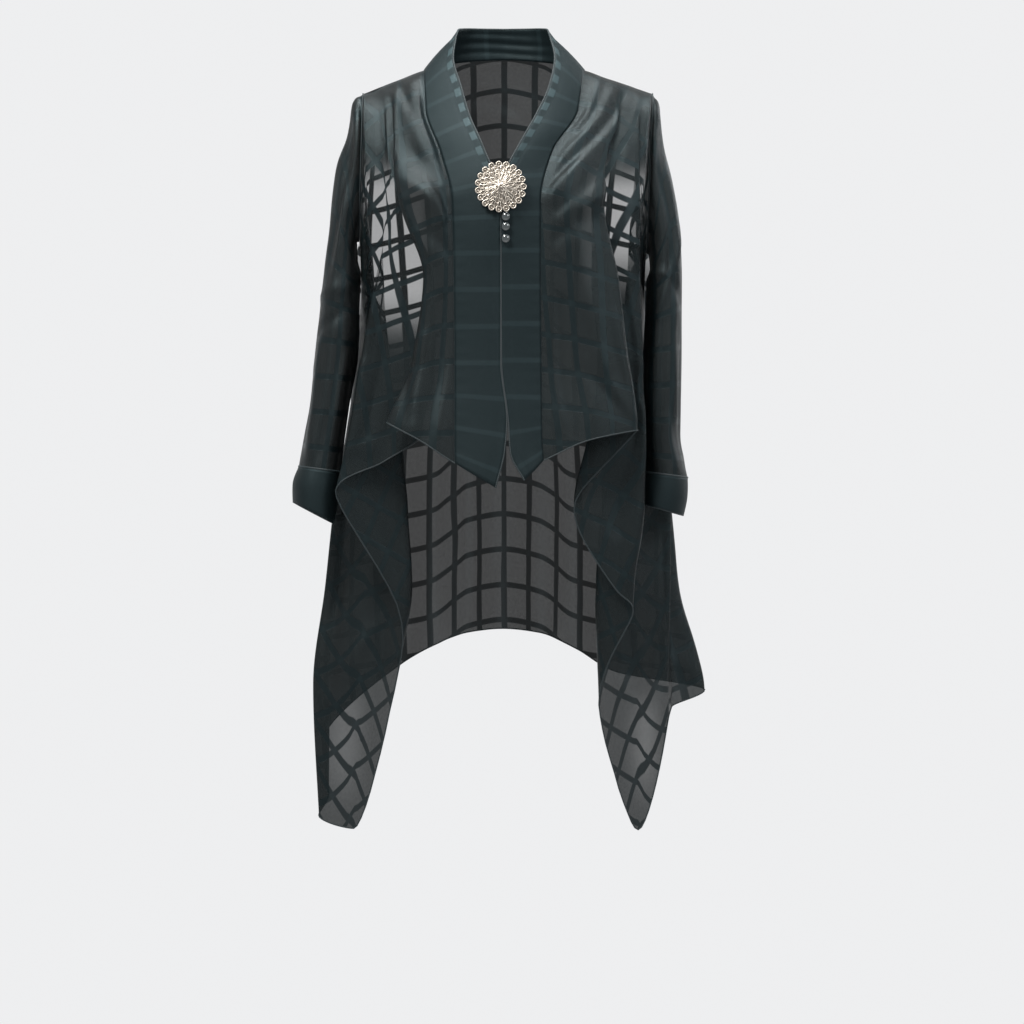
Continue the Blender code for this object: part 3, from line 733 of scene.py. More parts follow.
def flat_cut(rows: np.ndarray, upright: int) -> np.ndarray:
    """Lays a hanging panel out flat, as a fan of straight strips.

    Args:
        rows: Points from the upper edge to the hem, in mm.
        upright: The column that stays upright in the cut.

    Returns:
        The place of every point on the flat cut, in metres.
    """
    down = np.linalg.norm(np.diff(rows, axis=0), axis=-1)
    length = np.concatenate([np.zeros((1, rows.shape[1])), np.cumsum(down, axis=0)])
    heading = unit(np.gradient(rows, axis=0))
    between = np.diff(rows, axis=1)
    along = (between * (heading[:, 1:] + heading[:, :-1]) / 2).sum(-1)
    width = np.sqrt(np.maximum((between**2).sum(-1) - along**2, 1e-6))
    turn, top = np.zeros(rows.shape[1]), np.zeros((rows.shape[1], 2))
    for j in range(rows.shape[1] - 1):
        growth, first = np.polyfit(length[:, j], width[:, j], 1)
        turn[j + 1] = turn[j] + growth
        middle = (turn[j] + turn[j + 1]) / 2
        side = np.array((math.cos(middle), math.sin(middle)))
        fall = np.array((math.sin(middle), -math.cos(middle)))
        top[j + 1] = top[j] + side * max(first, 0.05) + fall * along[0, j]
    turn -= turn[upright]
    base = turn[0]
    spun = np.array(((math.cos(base), -math.sin(base)), (math.sin(base), math.cos(base))))
    top = top @ spun.T
    fall = np.stack([np.sin(turn), -np.cos(turn)], axis=-1)
    return (top[None] + length[..., None] * fall[None]) * MM


def ruffle(cut: np.ndarray, seed: int, height: float, stretch: float = 0.35) -> np.ndarray:
    """Small uneven waves over a cut, longer down the cloth than across it.

    Args:
        cut: Places on the flat cut, in metres.
        seed: The seed of their draws.
        height: About how far they stand out, in mm.
        stretch: How much a lean counts along the cloth.

    Returns:
        The lift of every place, in mm.
    """
    draw = np.random.default_rng(seed)
    found = np.zeros(cut.shape[:-1])
    for _ in range(16):
        length = draw.uniform(0.022, 0.085)
        lean = draw.normal(0, 0.5)
        across = math.cos(lean) * cut[..., 0] + math.sin(lean) * cut[..., 1] * stretch
        slow = np.sin(cut[..., 1] * draw.uniform(4, 16) + draw.uniform(0, math.tau))
        found += np.sin(across * math.tau / length + draw.uniform(0, math.tau)) * (0.5 + 0.5 * slow)
    return found * height / 4


def crease_height(
    cut: np.ndarray, start: np.ndarray, end: np.ndarray, bow: float, width: float, height: float
) -> np.ndarray:
    """How far one soft crease lifts the cloth.

    Args:
        cut: Places on the flat cut, in metres.
        start: One end of the crease on the cut.
        end: Its other end.
        bow: How far its middle bends aside, in mm.
        width: Half its width, in mm.
        height: How far it stands out at most, in mm.

    Returns:
        The lift of every place, in mm.
    """
    run = end - start
    reach = max(float(np.linalg.norm(run)), 1e-6)
    run = run / reach
    offset = cut - start
    share = (offset @ run) / reach
    inside = np.clip(share, 0, 1)
    aside = offset @ np.array((-run[1], run[0])) - bow * MM * np.sin(math.pi * inside)
    beyond = (share - inside) * reach
    wide = width * MM * (0.7 + 0.45 * inside)
    distance = (aside**2 + beyond**2) / wide**2
    fade = 0.25 + 0.75 * np.sin(math.pi * (0.12 + 0.76 * inside))
    return height * np.exp(-distance) * fade


def make_mesh(
    name: str, rows: np.ndarray, cut: np.ndarray, material: bpy.types.Material, around: bool = False
) -> bpy.types.Object:
    """Joins rows of points into a smooth mesh that carries its flat cut.

    Args:
        name: The new object's name.
        rows: Points in mm, a row for each step down.
        cut: Places on the cut, in metres. On a ring it has one column more than rows.
        material: Its finish.
        around: Whether each row closes into a ring.

    Returns:
        The new object.
    """
    count, width = rows.shape[:2]
    faces, places = [], []
    for i in range(count - 1):
        for j in range(width if around else width - 1):
            k = (j + 1) % width
            faces.append((i * width + j, (i + 1) * width + j, (i + 1) * width + k, i * width + k))
            places += [cut[i, j], cut[i + 1, j], cut[i + 1, j + 1], cut[i, j + 1]]
    mesh = bpy.data.meshes.new(name)
    mesh.from_pydata((rows.reshape(-1, 3) * MM).tolist(), [], faces)
    layer = mesh.uv_layers.new(name="cut")
    layer.data.foreach_set("uv", np.array(places, dtype=np.float32).ravel())
    mesh.shade_smooth()
    mesh.materials.append(material)
    made = bpy.data.objects.new(name, mesh)
    bpy.context.scene.collection.objects.link(made)
    return made


def tube_points(path: np.ndarray, radius: float, sides: int, closed: bool = False) -> np.ndarray:
    """Rings of points round a path, in the path's own unit.

    Args:
        path: The points along it.
        radius: The tube's radius.
        sides: Points in each ring.
        closed: Whether the path's end meets its start.

    Returns:
        One ring for each point of the path.
    """
    if closed:
        ahead = unit(np.roll(path, -1, axis=0) - np.roll(path, 1, axis=0))
    else:
        ahead = unit(np.gradient(path, axis=0))
    guide = np.array((0.31, 0.83, 0.46))
    first = unit(np.cross(ahead, guide))
    second = np.cross(ahead, first)
    turn = np.linspace(0, math.tau, sides, endpoint=False)
    return path[:, None] + radius * (
        np.cos(turn)[None, :, None] * first[:, None] + np.sin(turn)[None, :, None] * second[:, None]
    )


def make_roll(
    name: str, path: np.ndarray, radius: float, material: bpy.types.Material
) -> bpy.types.Object:
    """A thin roll of cloth along a line.

    Args:
        name: The new object's name.
        path: Points along the line, in mm.
        radius: The roll's radius, in mm.
        material: Its finish.

    Returns:
        The new object.
    """
    rows = tube_points(path, radius, 8)
    steps = np.concatenate([[0], np.cumsum(np.linalg.norm(np.diff(path, axis=0), axis=1))]) * MM
    turn = np.linspace(0, math.tau * radius * MM, 9)
    cut = np.stack(np.meshgrid(turn, steps), axis=-1)
    return make_mesh(name, rows, cut, material, around=True)


def add_wall(obj: bpy.types.Object, thickness: float, offset: float = 0.0) -> None:
    """Gives a sheet its thickness, in mm."""
    wall = obj.modifiers.new("wall", "SOLIDIFY")
    wall.thickness = thickness * MM
    wall.offset = offset


def place_on(obj: bpy.types.Object, slot: str, *nodes: str) -> None:
    """Rides a piece on the body, and lets it stand for these nodes."""
    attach(obj, "root")
    if nodes:
        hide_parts(*nodes)


@dataclass(frozen=True)
class Finishes:
    """Every material, made once."""

    sheer: bpy.types.Material
    band: bpy.types.Material
    cuff: bpy.types.Material
    edge: bpy.types.Material
    button: bpy.types.Material
    silver: bpy.types.Material
    # A darker copy of the silver for the leaves sunk inside the wires: painted shade.
    leaf: bpy.types.Material
    # A much darker copy of the silver for the plate's back and the flower's middle: painted shade.
    painted_shade_silver: bpy.types.Material
    paper: bpy.types.Material

    @staticmethod
    def make() -> Finishes:
        """Builds the materials."""
        return Finishes(
            sheer=SheerCheck().material("sheer_check"),
            band=FoldedBand().material("folded_band"),
            cuff=FoldedBand(strip=0.0, repeat=0.040).material("folded_cuff"),
            edge=RolledEdge().material("rolled_edge"),
            button=GlossButton().material("dark_button"),
            silver=PaleSilver().material("pale_silver"),
            # The leaves' silver, darkened as painted shade on the sunk leaves.
            leaf=PaleSilver(
                (0.20, 0.175, 0.145, 1), (0.085, 0.072, 0.06, 1)
            ).material("silver_leaf_painted_shade"),
            # Silver darkened further as painted shade on the plate's back and the flower's middle.
            painted_shade_silver=PaleSilver(
                (0.07, 0.06, 0.05, 1), (0.03, 0.025, 0.02, 1)
            ).material("silver_with_painted_shade"),
            paper=StudioPaper().material("studio_paper"),
        )


# ---------------------------------------------------------------------------- the body's cloth


@dataclass(frozen=True)
class BodyForm:
    """The form that the fronts and the back hang in."""

    across: np.ndarray
    depth: np.ndarray
    shoulder: np.ndarray
    hem: np.ndarray

    @staticmethod
    def make() -> BodyForm:
        """Joins the left tables to the right ones at the centre back."""

        def join(left: np.ndarray, right: np.ndarray) -> np.ndarray:
            """A left column or table, then the right one backwards."""
            return np.concatenate([left, right[-2::-1]])

        ends = numbers(ENDS)
        return BodyForm(
            across=join(-numbers(OUT_LEFT), numbers(OUT_RIGHT)),
            depth=join(numbers(DEPTH), numbers(DEPTH)),
            shoulder=join(ends[:, 0], ends[:, 0]),
            hem=join(ends[:, 1], ends[:, 2]),
        )

    @staticmethod
    def armhole(side: Side, turn: float) -> tuple[float, float, float]:
        """A point of the armhole.

        Args:
            side: Which armhole.
            turn: How far round it: 0 is the shoulder and a half the underarm.

        Returns:
            Its x, depth and drop, in mm.
        """
        outer_out, top, inner_out, bottom, half = SLEEVE_RINGS[side.value][0]
        angle = math.tau * turn
        share = (1 - math.cos(angle)) / 2
        out = outer_out + (inner_out - outer_out) * share
        depth = ARMHOLE_DEPTH - half * math.sin(angle)
        return side.sign * out, depth, top + (bottom - top) * share

    @staticmethod
    def meets(place: float) -> tuple[Side, float] | None:
        """Which armhole a place round the body meets and where on it, or None."""
        for side, seam, way in ((Side.LEFT, SIDE_SEAM, 1), (Side.RIGHT, LAST - SIDE_SEAM, -1)):
            if abs(place - seam) <= 1:
                return side, 0.5 + way * (place - seam) / 2
        return None

    def at(self, column: np.ndarray, place: float) -> float:
        """One column's value at a place round the body."""
        return float(smooth_through(np.arange(LAST + 1), column, place))

    def points(self, place: float, drops: np.ndarray) -> np.ndarray:
        """Where the cloth hangs at one place round the body.

        Args:
            place: The place, counted in folds from the left band seam.
            drops: Distances below the origin, in mm.

        Returns:
            A point for each drop, in mm.
        """
        shoulder = self.at(self.shoulder, place)
        share = np.clip((drops - shoulder) / (LEVELS[1] - shoulder), 0, 1)
        levels = np.where(drops < LEVELS[1], LEVELS[1] * share**SHOULDER_ROUNDING, drops)
        places = np.arange(LAST + 1)
        found = [
            smooth_through(places, smooth_through(LEVELS, table.T, levels).T, np.array([place]))[0]
            for table in (self.across, self.depth)
        ]
        return np.stack([*found, -drops], axis=-1)

    def column(self, place: float, shares: np.ndarray) -> np.ndarray:
        """A line of cloth from the upper edge to the hem, drawn to an armhole that it meets.

        Args:
            place: The place round the body.
            shares: How far down each point lies, from 0 to 1.

        Returns:
            The points, in mm.
        """
        met = self.meets(place)
        armhole = self.armhole(*met) if met else None
        top = armhole[2] if armhole else self.at(self.shoulder, place)
        drops = top + (self.at(self.hem, place) - top) * shares
        points = self.points(place, drops)
        if armhole:
            pull = 1 - ease((drops - top) / ARMHOLE_REACH)
            gap = self.points(place, np.array([top]))[0]
            points[:, 0] += pull * (armhole[0] - gap[0])
            points[:, 1] += pull * (armhole[1] - gap[1])
        return points

    def rows(self, places: Sequence[float], steps: int, crowding: float = 1.15) -> np.ndarray:
        """Rows of points from the upper edge to the hem."""
        shares = np.linspace(0, 1, steps + 1) ** crowding
        return np.stack([self.column(place, shares) for place in places], axis=1)


@dataclass
class Panel:
    """A front or the back: one hanging sheet with its creases and a rolled hem."""

    name: str
    first: int
    last: int
    upright: float
    mirrored: bool
    flat: tuple[float, float]
    area: float
    seed: int
    rests_on: tuple[str, ...]
    columns: int = 11
    steps: int = 118
    ruffle_height: float = 0.8
    crease_gain: float = 1.3
    hem_radius: float = 1.0

    def places(self) -> np.ndarray:
        """Places round the body of the columns of points."""
        return np.linspace(self.first, self.last, (self.last - self.first) * self.columns + 1)

    def thin_at(self, places: np.ndarray, rows: np.ndarray) -> np.ndarray:
        """How far the weave is pulled open at each point, under the arms."""
        found = np.zeros(rows.shape[:2])
        for first, last, top, bottom, most in THIN_PATCHES[self.name]:
            beside = ease((places - first) / 0.7) * ease((last - places) / 0.7)
            drop = -rows[..., 2]
            below = ease((drop - top) / 60) * ease((bottom - drop) / 110)
            found = np.maximum(found, most * beside * below)
        return found

    def build(self, form: BodyForm, finishes: Finishes) -> bpy.types.Object:
        """Args:
            form: The form that the sheet hangs in.
            finishes: Every material.

        Returns:
            The sheet.
        """
        places = self.places()
        rows = form.rows(places, self.steps)
        cut = flat_cut(rows, int(np.abs(places - self.upright).argmin()))
        lift = ruffle(cut, self.seed, self.ruffle_height)
        for place, drop, to_place, to_drop, bow, width, height in CREASES[self.name]:
            ends = []
            for at, fall in ((place, drop), (to_place, to_drop)):
                column = int(np.abs(places - (LAST - at if self.mirrored else at)).argmin())
                row = int(np.abs(-rows[:, column, 2] - fall).argmin())
                ends.append(cut[row, column])
            lift += crease_height(cut, ends[0], ends[1], bow, width, height * self.crease_gain)
        edge = np.minimum(np.arange(len(places)), np.arange(len(places))[::-1]) / 6
        down = np.arange(self.steps + 1) / 6
        lift *= ease(edge)[None] * (0.15 + 0.85 * ease(down))[:, None]
        rows = rows + face_way(rows) * lift[..., None]
        sheet = make_mesh(f"{self.name}_cloth", rows, cut, finishes.sheer)
        paint_thin(sheet, self.thin_at(places, rows))
        place_on(sheet, "sheer_check", self.name)
        hem = make_roll(f"{self.name}_hem", rows[-1], self.hem_radius, finishes.edge)
        place_on(hem, "sheer_check")
        LOG.info("%s: area %.3f cut %s to %s", self.name, mesh_area(sheet),
                 cut.min((0, 1)).round(3), cut.max((0, 1)).round(3))
        return sheet


def paint_thin(obj: bpy.types.Object, values: np.ndarray) -> None:
    """Notes on each point how far its weave is pulled open, from 0 to 1."""
    layer = obj.data.attributes.new("thin", "FLOAT", "POINT")
    layer.data.foreach_set("value", values.astype(np.float32).ravel())


def mesh_area(obj: bpy.types.Object) -> float:
    """The area of an object's faces, in square metres."""
    return float(sum(face.area for face in obj.data.polygons))


@dataclass
class Sleeve:
    """One long sleeve and its turned cuff."""

    side: Side
    seed: int
    flat: tuple[float, float]
    cuff_flat: tuple[float, float]
    sides: int = 72
    steps: int = 96
    cuff_steps: int = 14
    armhole_radius: float = 0.9
    head_lift: float = 5.0
    under_lift: float = 5.0
    clear_of_body: float = 1.2
    cuff_wall: float = 1.6
    cuff_crown: float = 1.4
    cuff_seam_radius: float = 1.5
    cuff_fold_radius: float = 0.9

    def rings(self, table: Sequence[Sequence[float]], steps: int) -> np.ndarray:
        """Rings of points through a table, running the way that faces the cloth outwards.

        Args:
            table: Outer out and drop, inner out and drop, and half the depth, for each ring.
            steps: How many steps to make of it.

        Returns:
            The rings, in mm, from the top down.
        """
        figures = np.array(table)
        knots = np.arange(len(figures))
        found = smooth_through(knots, figures, np.linspace(0, len(figures) - 1, steps + 1))
        outer_out, outer_drop, inner_out, inner_drop, half = (found[:, i, None] for i in range(5))
        angle = np.linspace(0, math.tau, self.sides, endpoint=False)[None]
        share = (1 - np.cos(angle)) / 2
        out = outer_out + (inner_out - outer_out) * share
        drop = outer_drop + (inner_drop - outer_drop) * share
        depth = ARMHOLE_DEPTH - half * np.sin(angle)
        rows = np.stack([self.side.sign * out, depth, -drop], axis=-1)
        return rows if self.side is Side.RIGHT else rows[:, ::-1]

    def cut(self, rows: np.ndarray, width: float) -> np.ndarray:
        """Slits the tube along its outer side and lays it flat.

        Args:
            rows: Rings of points, in mm, from the upper end down.
            width: The mean distance round the tube, in metres.

        Returns:
            Places in metres, with one column more than rows so that the slit is at both edges.
        """
        fall = np.linalg.norm(np.diff(rows, axis=0), axis=-1).mean(1)
        length = np.concatenate([[0], np.cumsum(fall)]) * MM
        across = np.linspace(0, width, self.sides + 1)
        return np.stack(np.meshgrid(across, -length), axis=-1)

    def build(self, finishes: Finishes) -> None:
        """Builds the sleeve, its cuff and the seams of both."""
        name = f"sleeve_{self.side.value}"
        rows = self.rings(SLEEVE_RINGS[self.side.value], self.steps)
        away = self.side.sign * self.clear_of_body
        rows[..., 0] += away * (1 - ease(np.arange(self.steps + 1) / 4))[:, None]
        cut = self.cut(rows, self.flat[0])
        length = -cut[-1, 0, 1]
        lift = ruffle(cut[:, :-1], self.seed, 0.7, 0.6)
        for turn, reach, to_turn, to_reach, bow, width, height in SLEEVE_CREASES[self.side.value]:
            ends = []
            for at, share in ((turn, reach), (to_turn, to_reach)):
                at = at if self.side is Side.RIGHT else 1 - at
                ends.append(np.array((at * self.flat[0], -share * length)))
            for shift in (-self.flat[0], 0, self.flat[0]):
                slide = np.array((shift, 0))
                lift += crease_height(
                    cut[:, :-1], ends[0] + slide, ends[1] + slide, bow, width, height
                )
        down = np.arange(self.steps + 1)
        turn = np.arange(self.sides) / self.sides
        reach = down / self.steps
        head = np.exp(-((reach - 0.07) / 0.06) ** 2)
        under = ease((reach - 0.34) / 0.06) * ease((0.80 - reach) / 0.12)
        lift += self.head_lift * head[:, None] * np.clip(np.cos(turn * math.tau), 0, 1)
        lift += self.under_lift * under[:, None] * np.clip(-np.cos(turn * math.tau), 0, 1) ** 3
        lift *= (ease(down / 5) * ease(down[::-1] / 5))[:, None]
        rows = rows + face_way(rows, around=True) * lift[..., None]
        sleeve = make_mesh(f"{name}_cloth", rows, cut, finishes.sheer, around=True)
        place_on(sleeve, "sheer_check", name)
        loop = np.concatenate([rows[0], rows[0, :1]])
        seam = make_roll(f"{name}_seam", loop, self.armhole_radius, finishes.edge)
        place_on(seam, "sheer_check")
        LOG.info("%s: area %.4f length %.3f", name, mesh_area(sleeve), length)
        self.build_cuff(finishes)

    def build_cuff(self, finishes: Finishes) -> None:
        """Builds the cuff: a band folded double, softly waved, with its seam and its fold."""
        name = f"cuff_{self.side.value}"
        rows = self.rings(CUFF_RINGS[self.side.value], self.cuff_steps)
        cut = self.cut(rows, self.cuff_flat[0])
        lift = ruffle(cut[:, :-1], self.seed + 7, 0.5, 0.6)
        share = np.arange(self.cuff_steps + 1) / self.cuff_steps
        lift += self.cuff_crown * np.sin(math.pi * share)[:, None]
        rows = rows + face_way(rows, around=True) * (lift * ease(share * 6)[:, None])[..., None]
        cuff = make_mesh(f"{name}_cloth", rows, cut, finishes.cuff, around=True)
        add_wall(cuff, self.cuff_wall)
        place_on(cuff, "folded_band", name)
        gap = np.array((0.0, 0.0, 0.6))
        for end, ring, radius in (
            ("seam", rows[0] + gap, self.cuff_seam_radius),
            ("fold", rows[-1], self.cuff_fold_radius),
        ):
            loop = np.concatenate([ring, ring[:1]])
            roll = make_roll(f"{name}_{end}", loop, radius, finishes.edge)
            place_on(roll, "folded_band")
        LOG.info("%s: area %.4f", name, mesh_area(cuff))


@dataclass
class NeckBand:
    """The folded band round the neck and down both fronts."""

    columns: int = 16
    crown: float = 2.5
    wall: float = 1.6
    piping: float = 1.3
    pucker: float = 0.45
    seam_radius: float = 0.7
    flats: dict[str, tuple[float, float, float]] = field(
        default_factory=lambda: {  # width, length and area of the strip that shows
            "band_left": (0.075, 0.70, 0.0423),
            "band_right": (0.070, 0.70, 0.0344),
            "collar_back": (0.070, 0.21, 0.0123),
        }
    )

    def across(self, seam: np.ndarray, edge: np.ndarray, along: float) -> np.ndarray:
        """Points from the seam to the free edge, crowned, stitched and slightly puckered.

        Args:
            seam: The point on the seam, in mm.
            edge: The point on the free edge, in mm.
            along: How far down the band they are, in mm, for the puckers.

        Returns:
            The points, in mm.
        """
        away = edge - seam
        width = float(np.linalg.norm(away))
        start = seam + away * (0.5 / width)
        outwards = np.array((seam[0] + edge[0], seam[1] + edge[1], 0.0))
        outwards /= max(float(np.linalg.norm(outwards)), 1)
        share = np.linspace(0, 1, self.columns + 1)
        rise = self.crown * np.sin(math.pi * share)
        rise -= 0.7 * np.exp(-(((1 - share) * width - 11) / 2.2) ** 2)
        gather = math.sin(along / 2.9) + 0.6 * math.sin(along / 1.7 + 1)
        rise += self.pucker * gather * np.exp(-share * width / 9) * ease(share * 8)
        return start + (edge - start) * share[:, None] + outwards * rise[:, None]

    def declare(self, node: str, rows: np.ndarray, flip: bool, finishes: Finishes) -> None:
        """Args:
            node: The solid that it stands for.
            rows: Points in mm, seam first.
            flip: Whether the order across is turned, to face the cloth outwards.
            finishes: Every material.
        """
        steps = np.linalg.norm(np.diff(rows, axis=0), axis=-1)[:, -1]
        along = np.concatenate([[0], np.cumsum(steps)]) * MM
        width = np.linalg.norm(rows[:, -1:] - rows, axis=-1) * MM
        cut = np.stack([width, -np.broadcast_to(along[:, None], width.shape)], axis=-1)
        piping = make_roll(f"{node}_piping", rows[:, -1], self.piping, finishes.edge)
        seam = make_roll(f"{node}_seam", rows[:, 0], self.seam_radius, finishes.edge)
        if flip:
            rows, cut = rows[:, ::-1], cut[:, ::-1]
        finish = finishes.cuff if node == "collar_back" else finishes.band
        band = make_mesh(f"{node}_cloth", rows, cut, finish)
        add_wall(band, self.wall)
        place_on(band, "folded_band", node)
        place_on(piping, "folded_band")
        place_on(seam, "folded_band")
        LOG.info("%s: area %.4f length %.3f width %.3f", node, mesh_area(band), along[-1],
                 float(width.max()))

    def build(self, form: BodyForm, finishes: Finishes) -> None:
        """Builds both front lengths and the stand at the back."""
        shares = np.linspace(0, 1, 131)
        for side, place in ((Side.LEFT, 0), (Side.RIGHT, LAST)):
            table = np.array(BAND_SECTIONS[side.value], float)
            seams = form.column(place, shares)
            edges = smooth_through(table[:, 0], table[:, 1:], -seams[:, 2])
            edges = np.stack([side.sign * edges[:, 0], edges[:, 1], -edges[:, 2]], axis=-1)
            rows = np.stack([self.across(s, e, -s[2]) for s, e in zip(seams, edges)])
            self.declare(f"band_{side.value}", rows, side is Side.RIGHT, finishes)
        table = np.array(COLLAR_EDGE, float)
        rows = []
        for at in np.linspace(-2, 2, 61):
            seam = form.column(CENTRE_BACK + at, np.array([0.0]))[0]
            out, depth, drop = smooth_through(range(4), table, 3 * (1 - abs(at) / 2))
            edge = np.array((math.copysign(out, at), depth, -drop))
            strip = self.across(seam, edge, at * 60)
            share = np.linspace(0, 1, self.columns + 1)
            wave = 1.1 * np.sin(share * 21 + 0.9 * math.sin(at * 2.2))
            wave = wave * ease(share * 5) * ease((1 - share) * 5)
            strip[:, 1] -= wave * math.exp(-((at / 1.5) ** 4))
            rows.append(strip)
        self.declare("collar_back", np.array(rows), False, finishes)


# ---------------------------------------------------------------------------- trimmings


def join_rings(
    name: str,
    groups: Sequence[tuple[np.ndarray, bool, int]],
    materials: Sequence[bpy.types.Material],
) -> bpy.types.Object:
    """One object from several tubes or lathes.

    Args:
        name: The new object's name.
        groups: For each, rings of points in mm, whether the last ring joins the first, and the
            number of its finish.
        materials: The finishes.

    Returns:
        The new object, smooth, with open ends closed and every face looking outwards.
    """
    shape = bmesh.new()
    for rings, closed, finish in groups:
        rows = [[shape.verts.new(point) for point in ring] for ring in (rings * MM).tolist()]
        corners = []
        for low, high in zip(rows, rows[1:] + rows[:1] if closed else rows[1:]):
            corners += [(low[j - 1], low[j], high[j], high[j - 1]) for j in range(len(low))]
        if not closed:
            corners += [tuple(rows[0]), tuple(rows[-1])]
        for points in corners:
            face = shape.faces.new(points)
            face.smooth = True
            face.material_index = finish
    bmesh.ops.recalc_face_normals(shape, faces=shape.faces)
    mesh = bpy.data.meshes.new(name)
    shape.to_mesh(mesh)
    shape.free()
    for material in materials:
        mesh.materials.append(material)
    made = bpy.data.objects.new(name, mesh)
    bpy.context.scene.collection.objects.link(made)
    return made


def lathe(profile: Sequence[tuple[float, float]], sides: int) -> np.ndarray:
    """Rings of a profile of radius and height turned about its axis."""
    turn = np.linspace(0, math.tau, sides, endpoint=False)
    return np.array([[(r * math.cos(a), r * math.sin(a), h) for a in turn] for r, h in profile])


@dataclass
class Brooch:
    """A round domed brooch of scalloped wire loops, petals and a small flower."""

    centre: tuple[float, float, float] = (-3.0, -128.5, -171.5)
    tilt: float = math.radians(7)
    radius: float = 33.0
    loops: int = 19
    wire: float = 0.75

    def petal(self, angle: float, inner: float, outer: float, half: float, low: float,
              high: float, steps: int = 28) -> np.ndarray:
        """A closed teardrop line on the dome, its point towards the middle.

        Args:
            angle: Which way it points.
            inner, outer: Its nearest and furthest reach from the middle, in mm.
            half: Half its width, in mm.
            low, high: Its height at its furthest and nearest, in mm.
            steps: Points along it.

        Returns:
            The points, in mm.
        """
        t = np.linspace(0, math.tau, steps, endpoint=False)
        reach = inner + (outer - inner) * (1 - np.cos(t)) / 2
        aside = half * np.sin(t) * (0.45 + 0.55 * (1 - np.cos(t)) / 2)
        height = low + (high - low) * (outer - reach) / (outer - inner)
        x = reach * math.cos(angle) - aside * math.sin(angle)
        y = reach * math.sin(angle) + aside * math.cos(angle)
        return np.stack([x, y, height], axis=-1)

    def circle(self, radius: float, height: float, steps: int = 96, wave: float = 0.0,
               waves: int = 1) -> np.ndarray:
        """A closed round line, with its radius waved."""
        t = np.linspace(0, math.tau, steps, endpoint=False)
        reach = radius + wave * np.cos(waves * t)
        return np.stack([reach * np.cos(t), reach * np.sin(t), np.full(steps, height)], axis=-1)

    def bead(self, angle: float, reach: float, height: float, size: float) -> np.ndarray:
        """Rings of one small grain of metal, flattened at its foot."""
        profile = [(0.05, -0.5), (0.8, -0.4), (1, 0.1), (0.75, 0.65), (0.05, 1)]
        rings = lathe([(r * size, h * size) for r, h in profile], 10)
        return rings + np.array((reach * math.cos(angle), reach * math.sin(angle), height))

    def leaf(self, line: np.ndarray) -> np.ndarray:
        """Rings of a thin hollowed leaf inside a closed line."""
        middle = line.mean(0)
        rings = ((0.05, 1.1), (1.0, 0.6), (1.0, 0.1), (0.62, 0.55), (0.05, 0.8))
        return np.array([middle + (line - middle) * s - np.array((0, 0, d)) for s, d in rings])

    def wired(self, line: np.ndarray, wire: float) -> list[tuple[np.ndarray, bool, int]]:
        """A leaf with a round wire on its edge."""
        # The leaf takes finish 1, the darker silver that paints shade inside its wire.
        return [(tube_points(line, wire, 8, True), True, 0), (self.leaf(line), False, 1)]

    def round_of(self, count: int, shift: float, inner: float, outer: float, half: float,
                 low: float, high: float, wire: float) -> list[tuple[np.ndarray, bool, int]]:
        """A round of wired leaves, a little uneven in their reach.

        Args:
            count: How many leaves.
            shift: How far the round is turned, in leaves.
            inner, outer, half, low, high: As for a petal.
            wire: The radius of the wire on their edges, in mm.

        Returns:
            What join_rings takes.
        """
        groups = []
        for i in range(count):
            angle = math.tau * (i + shift) / count
            reach = outer + 0.5 * math.sin(2.4 * i + shift)
            groups += self.wired(self.petal(angle, inner, reach, half, low, high, 26), wire)
        return groups

    def plate_groups(self) -> list[tuple[np.ndarray, bool, int]]:
        """The plate: its back, in silver darkened as painted shade, its edge of round loops and the
        leaves inside them.
        """
        groups = []
        for i in range(self.loops):
            angle = math.tau * i / self.loops
            loop = self.circle(3.9, 1.2, 22) + np.array(
                (32.2 * math.cos(angle), 32.2 * math.sin(angle), 0)
            )
            groups += self.wired(loop, 0.95)
            groups.append((self.bead(angle, 32.6, 0.9, 1.5), False, 0))
        groups += self.round_of(self.loops, 0.5, 17.0, 30.6, 3.7, 1.2, 2.6, 0.8)
        back = lathe([(30.8, 0.0), (31.2, 0.2), (30.8, 0.45), (22, 0.5), (8, 0.5), (3, 0.4),
                      (3, 0.1), (8, 0.0)], 76)
        # The back takes finish 2, silver darkened as painted shade.
        groups.append((back, True, 2))
        return groups

    def rosette_groups(self) -> list[tuple[np.ndarray, bool, int]]:
        """Rounds of raised leaves with grains between them."""
        groups = self.round_of(14, 0.0, 11.0, 25.0, 4.0, 2.3, 4.2, 0.85)
        groups += self.round_of(11, 0.3, 6.0, 18.5, 3.8, 3.7, 5.6, 0.8)
        for i in range(14):
            angle = math.tau * (i + 0.5) / 14
            groups.append((self.bead(angle, 22.4, 3.2, 1.2), False, 0))
            groups.append((self.bead(angle, 26.2, 2.4, 1.0), False, 0))
        return groups

    def centre_groups(self) -> list[tuple[np.ndarray, bool, int]]:
        """The small flower, open in its middle."""
        groups = self.round_of(8, 0.2, 3.0, 11.0, 2.7, 5.0, 6.8, 0.75)
        groups += self.round_of(5, 0.0, 1.8, 6.6, 2.0, 6.6, 8.2, 0.65)
        groups.append((tube_points(self.circle(2.0, 8.4, 30), 0.6, 8, True), True, 0))
        # The bead in the middle takes finish 2, silver darkened as painted shade.
        groups.append((self.bead(0, 0, 6.2, 1.7), False, 2))
        return groups

    def build(self, finishes: Finishes) -> None:
        """Builds the brooch's three layers and sets them on the band."""
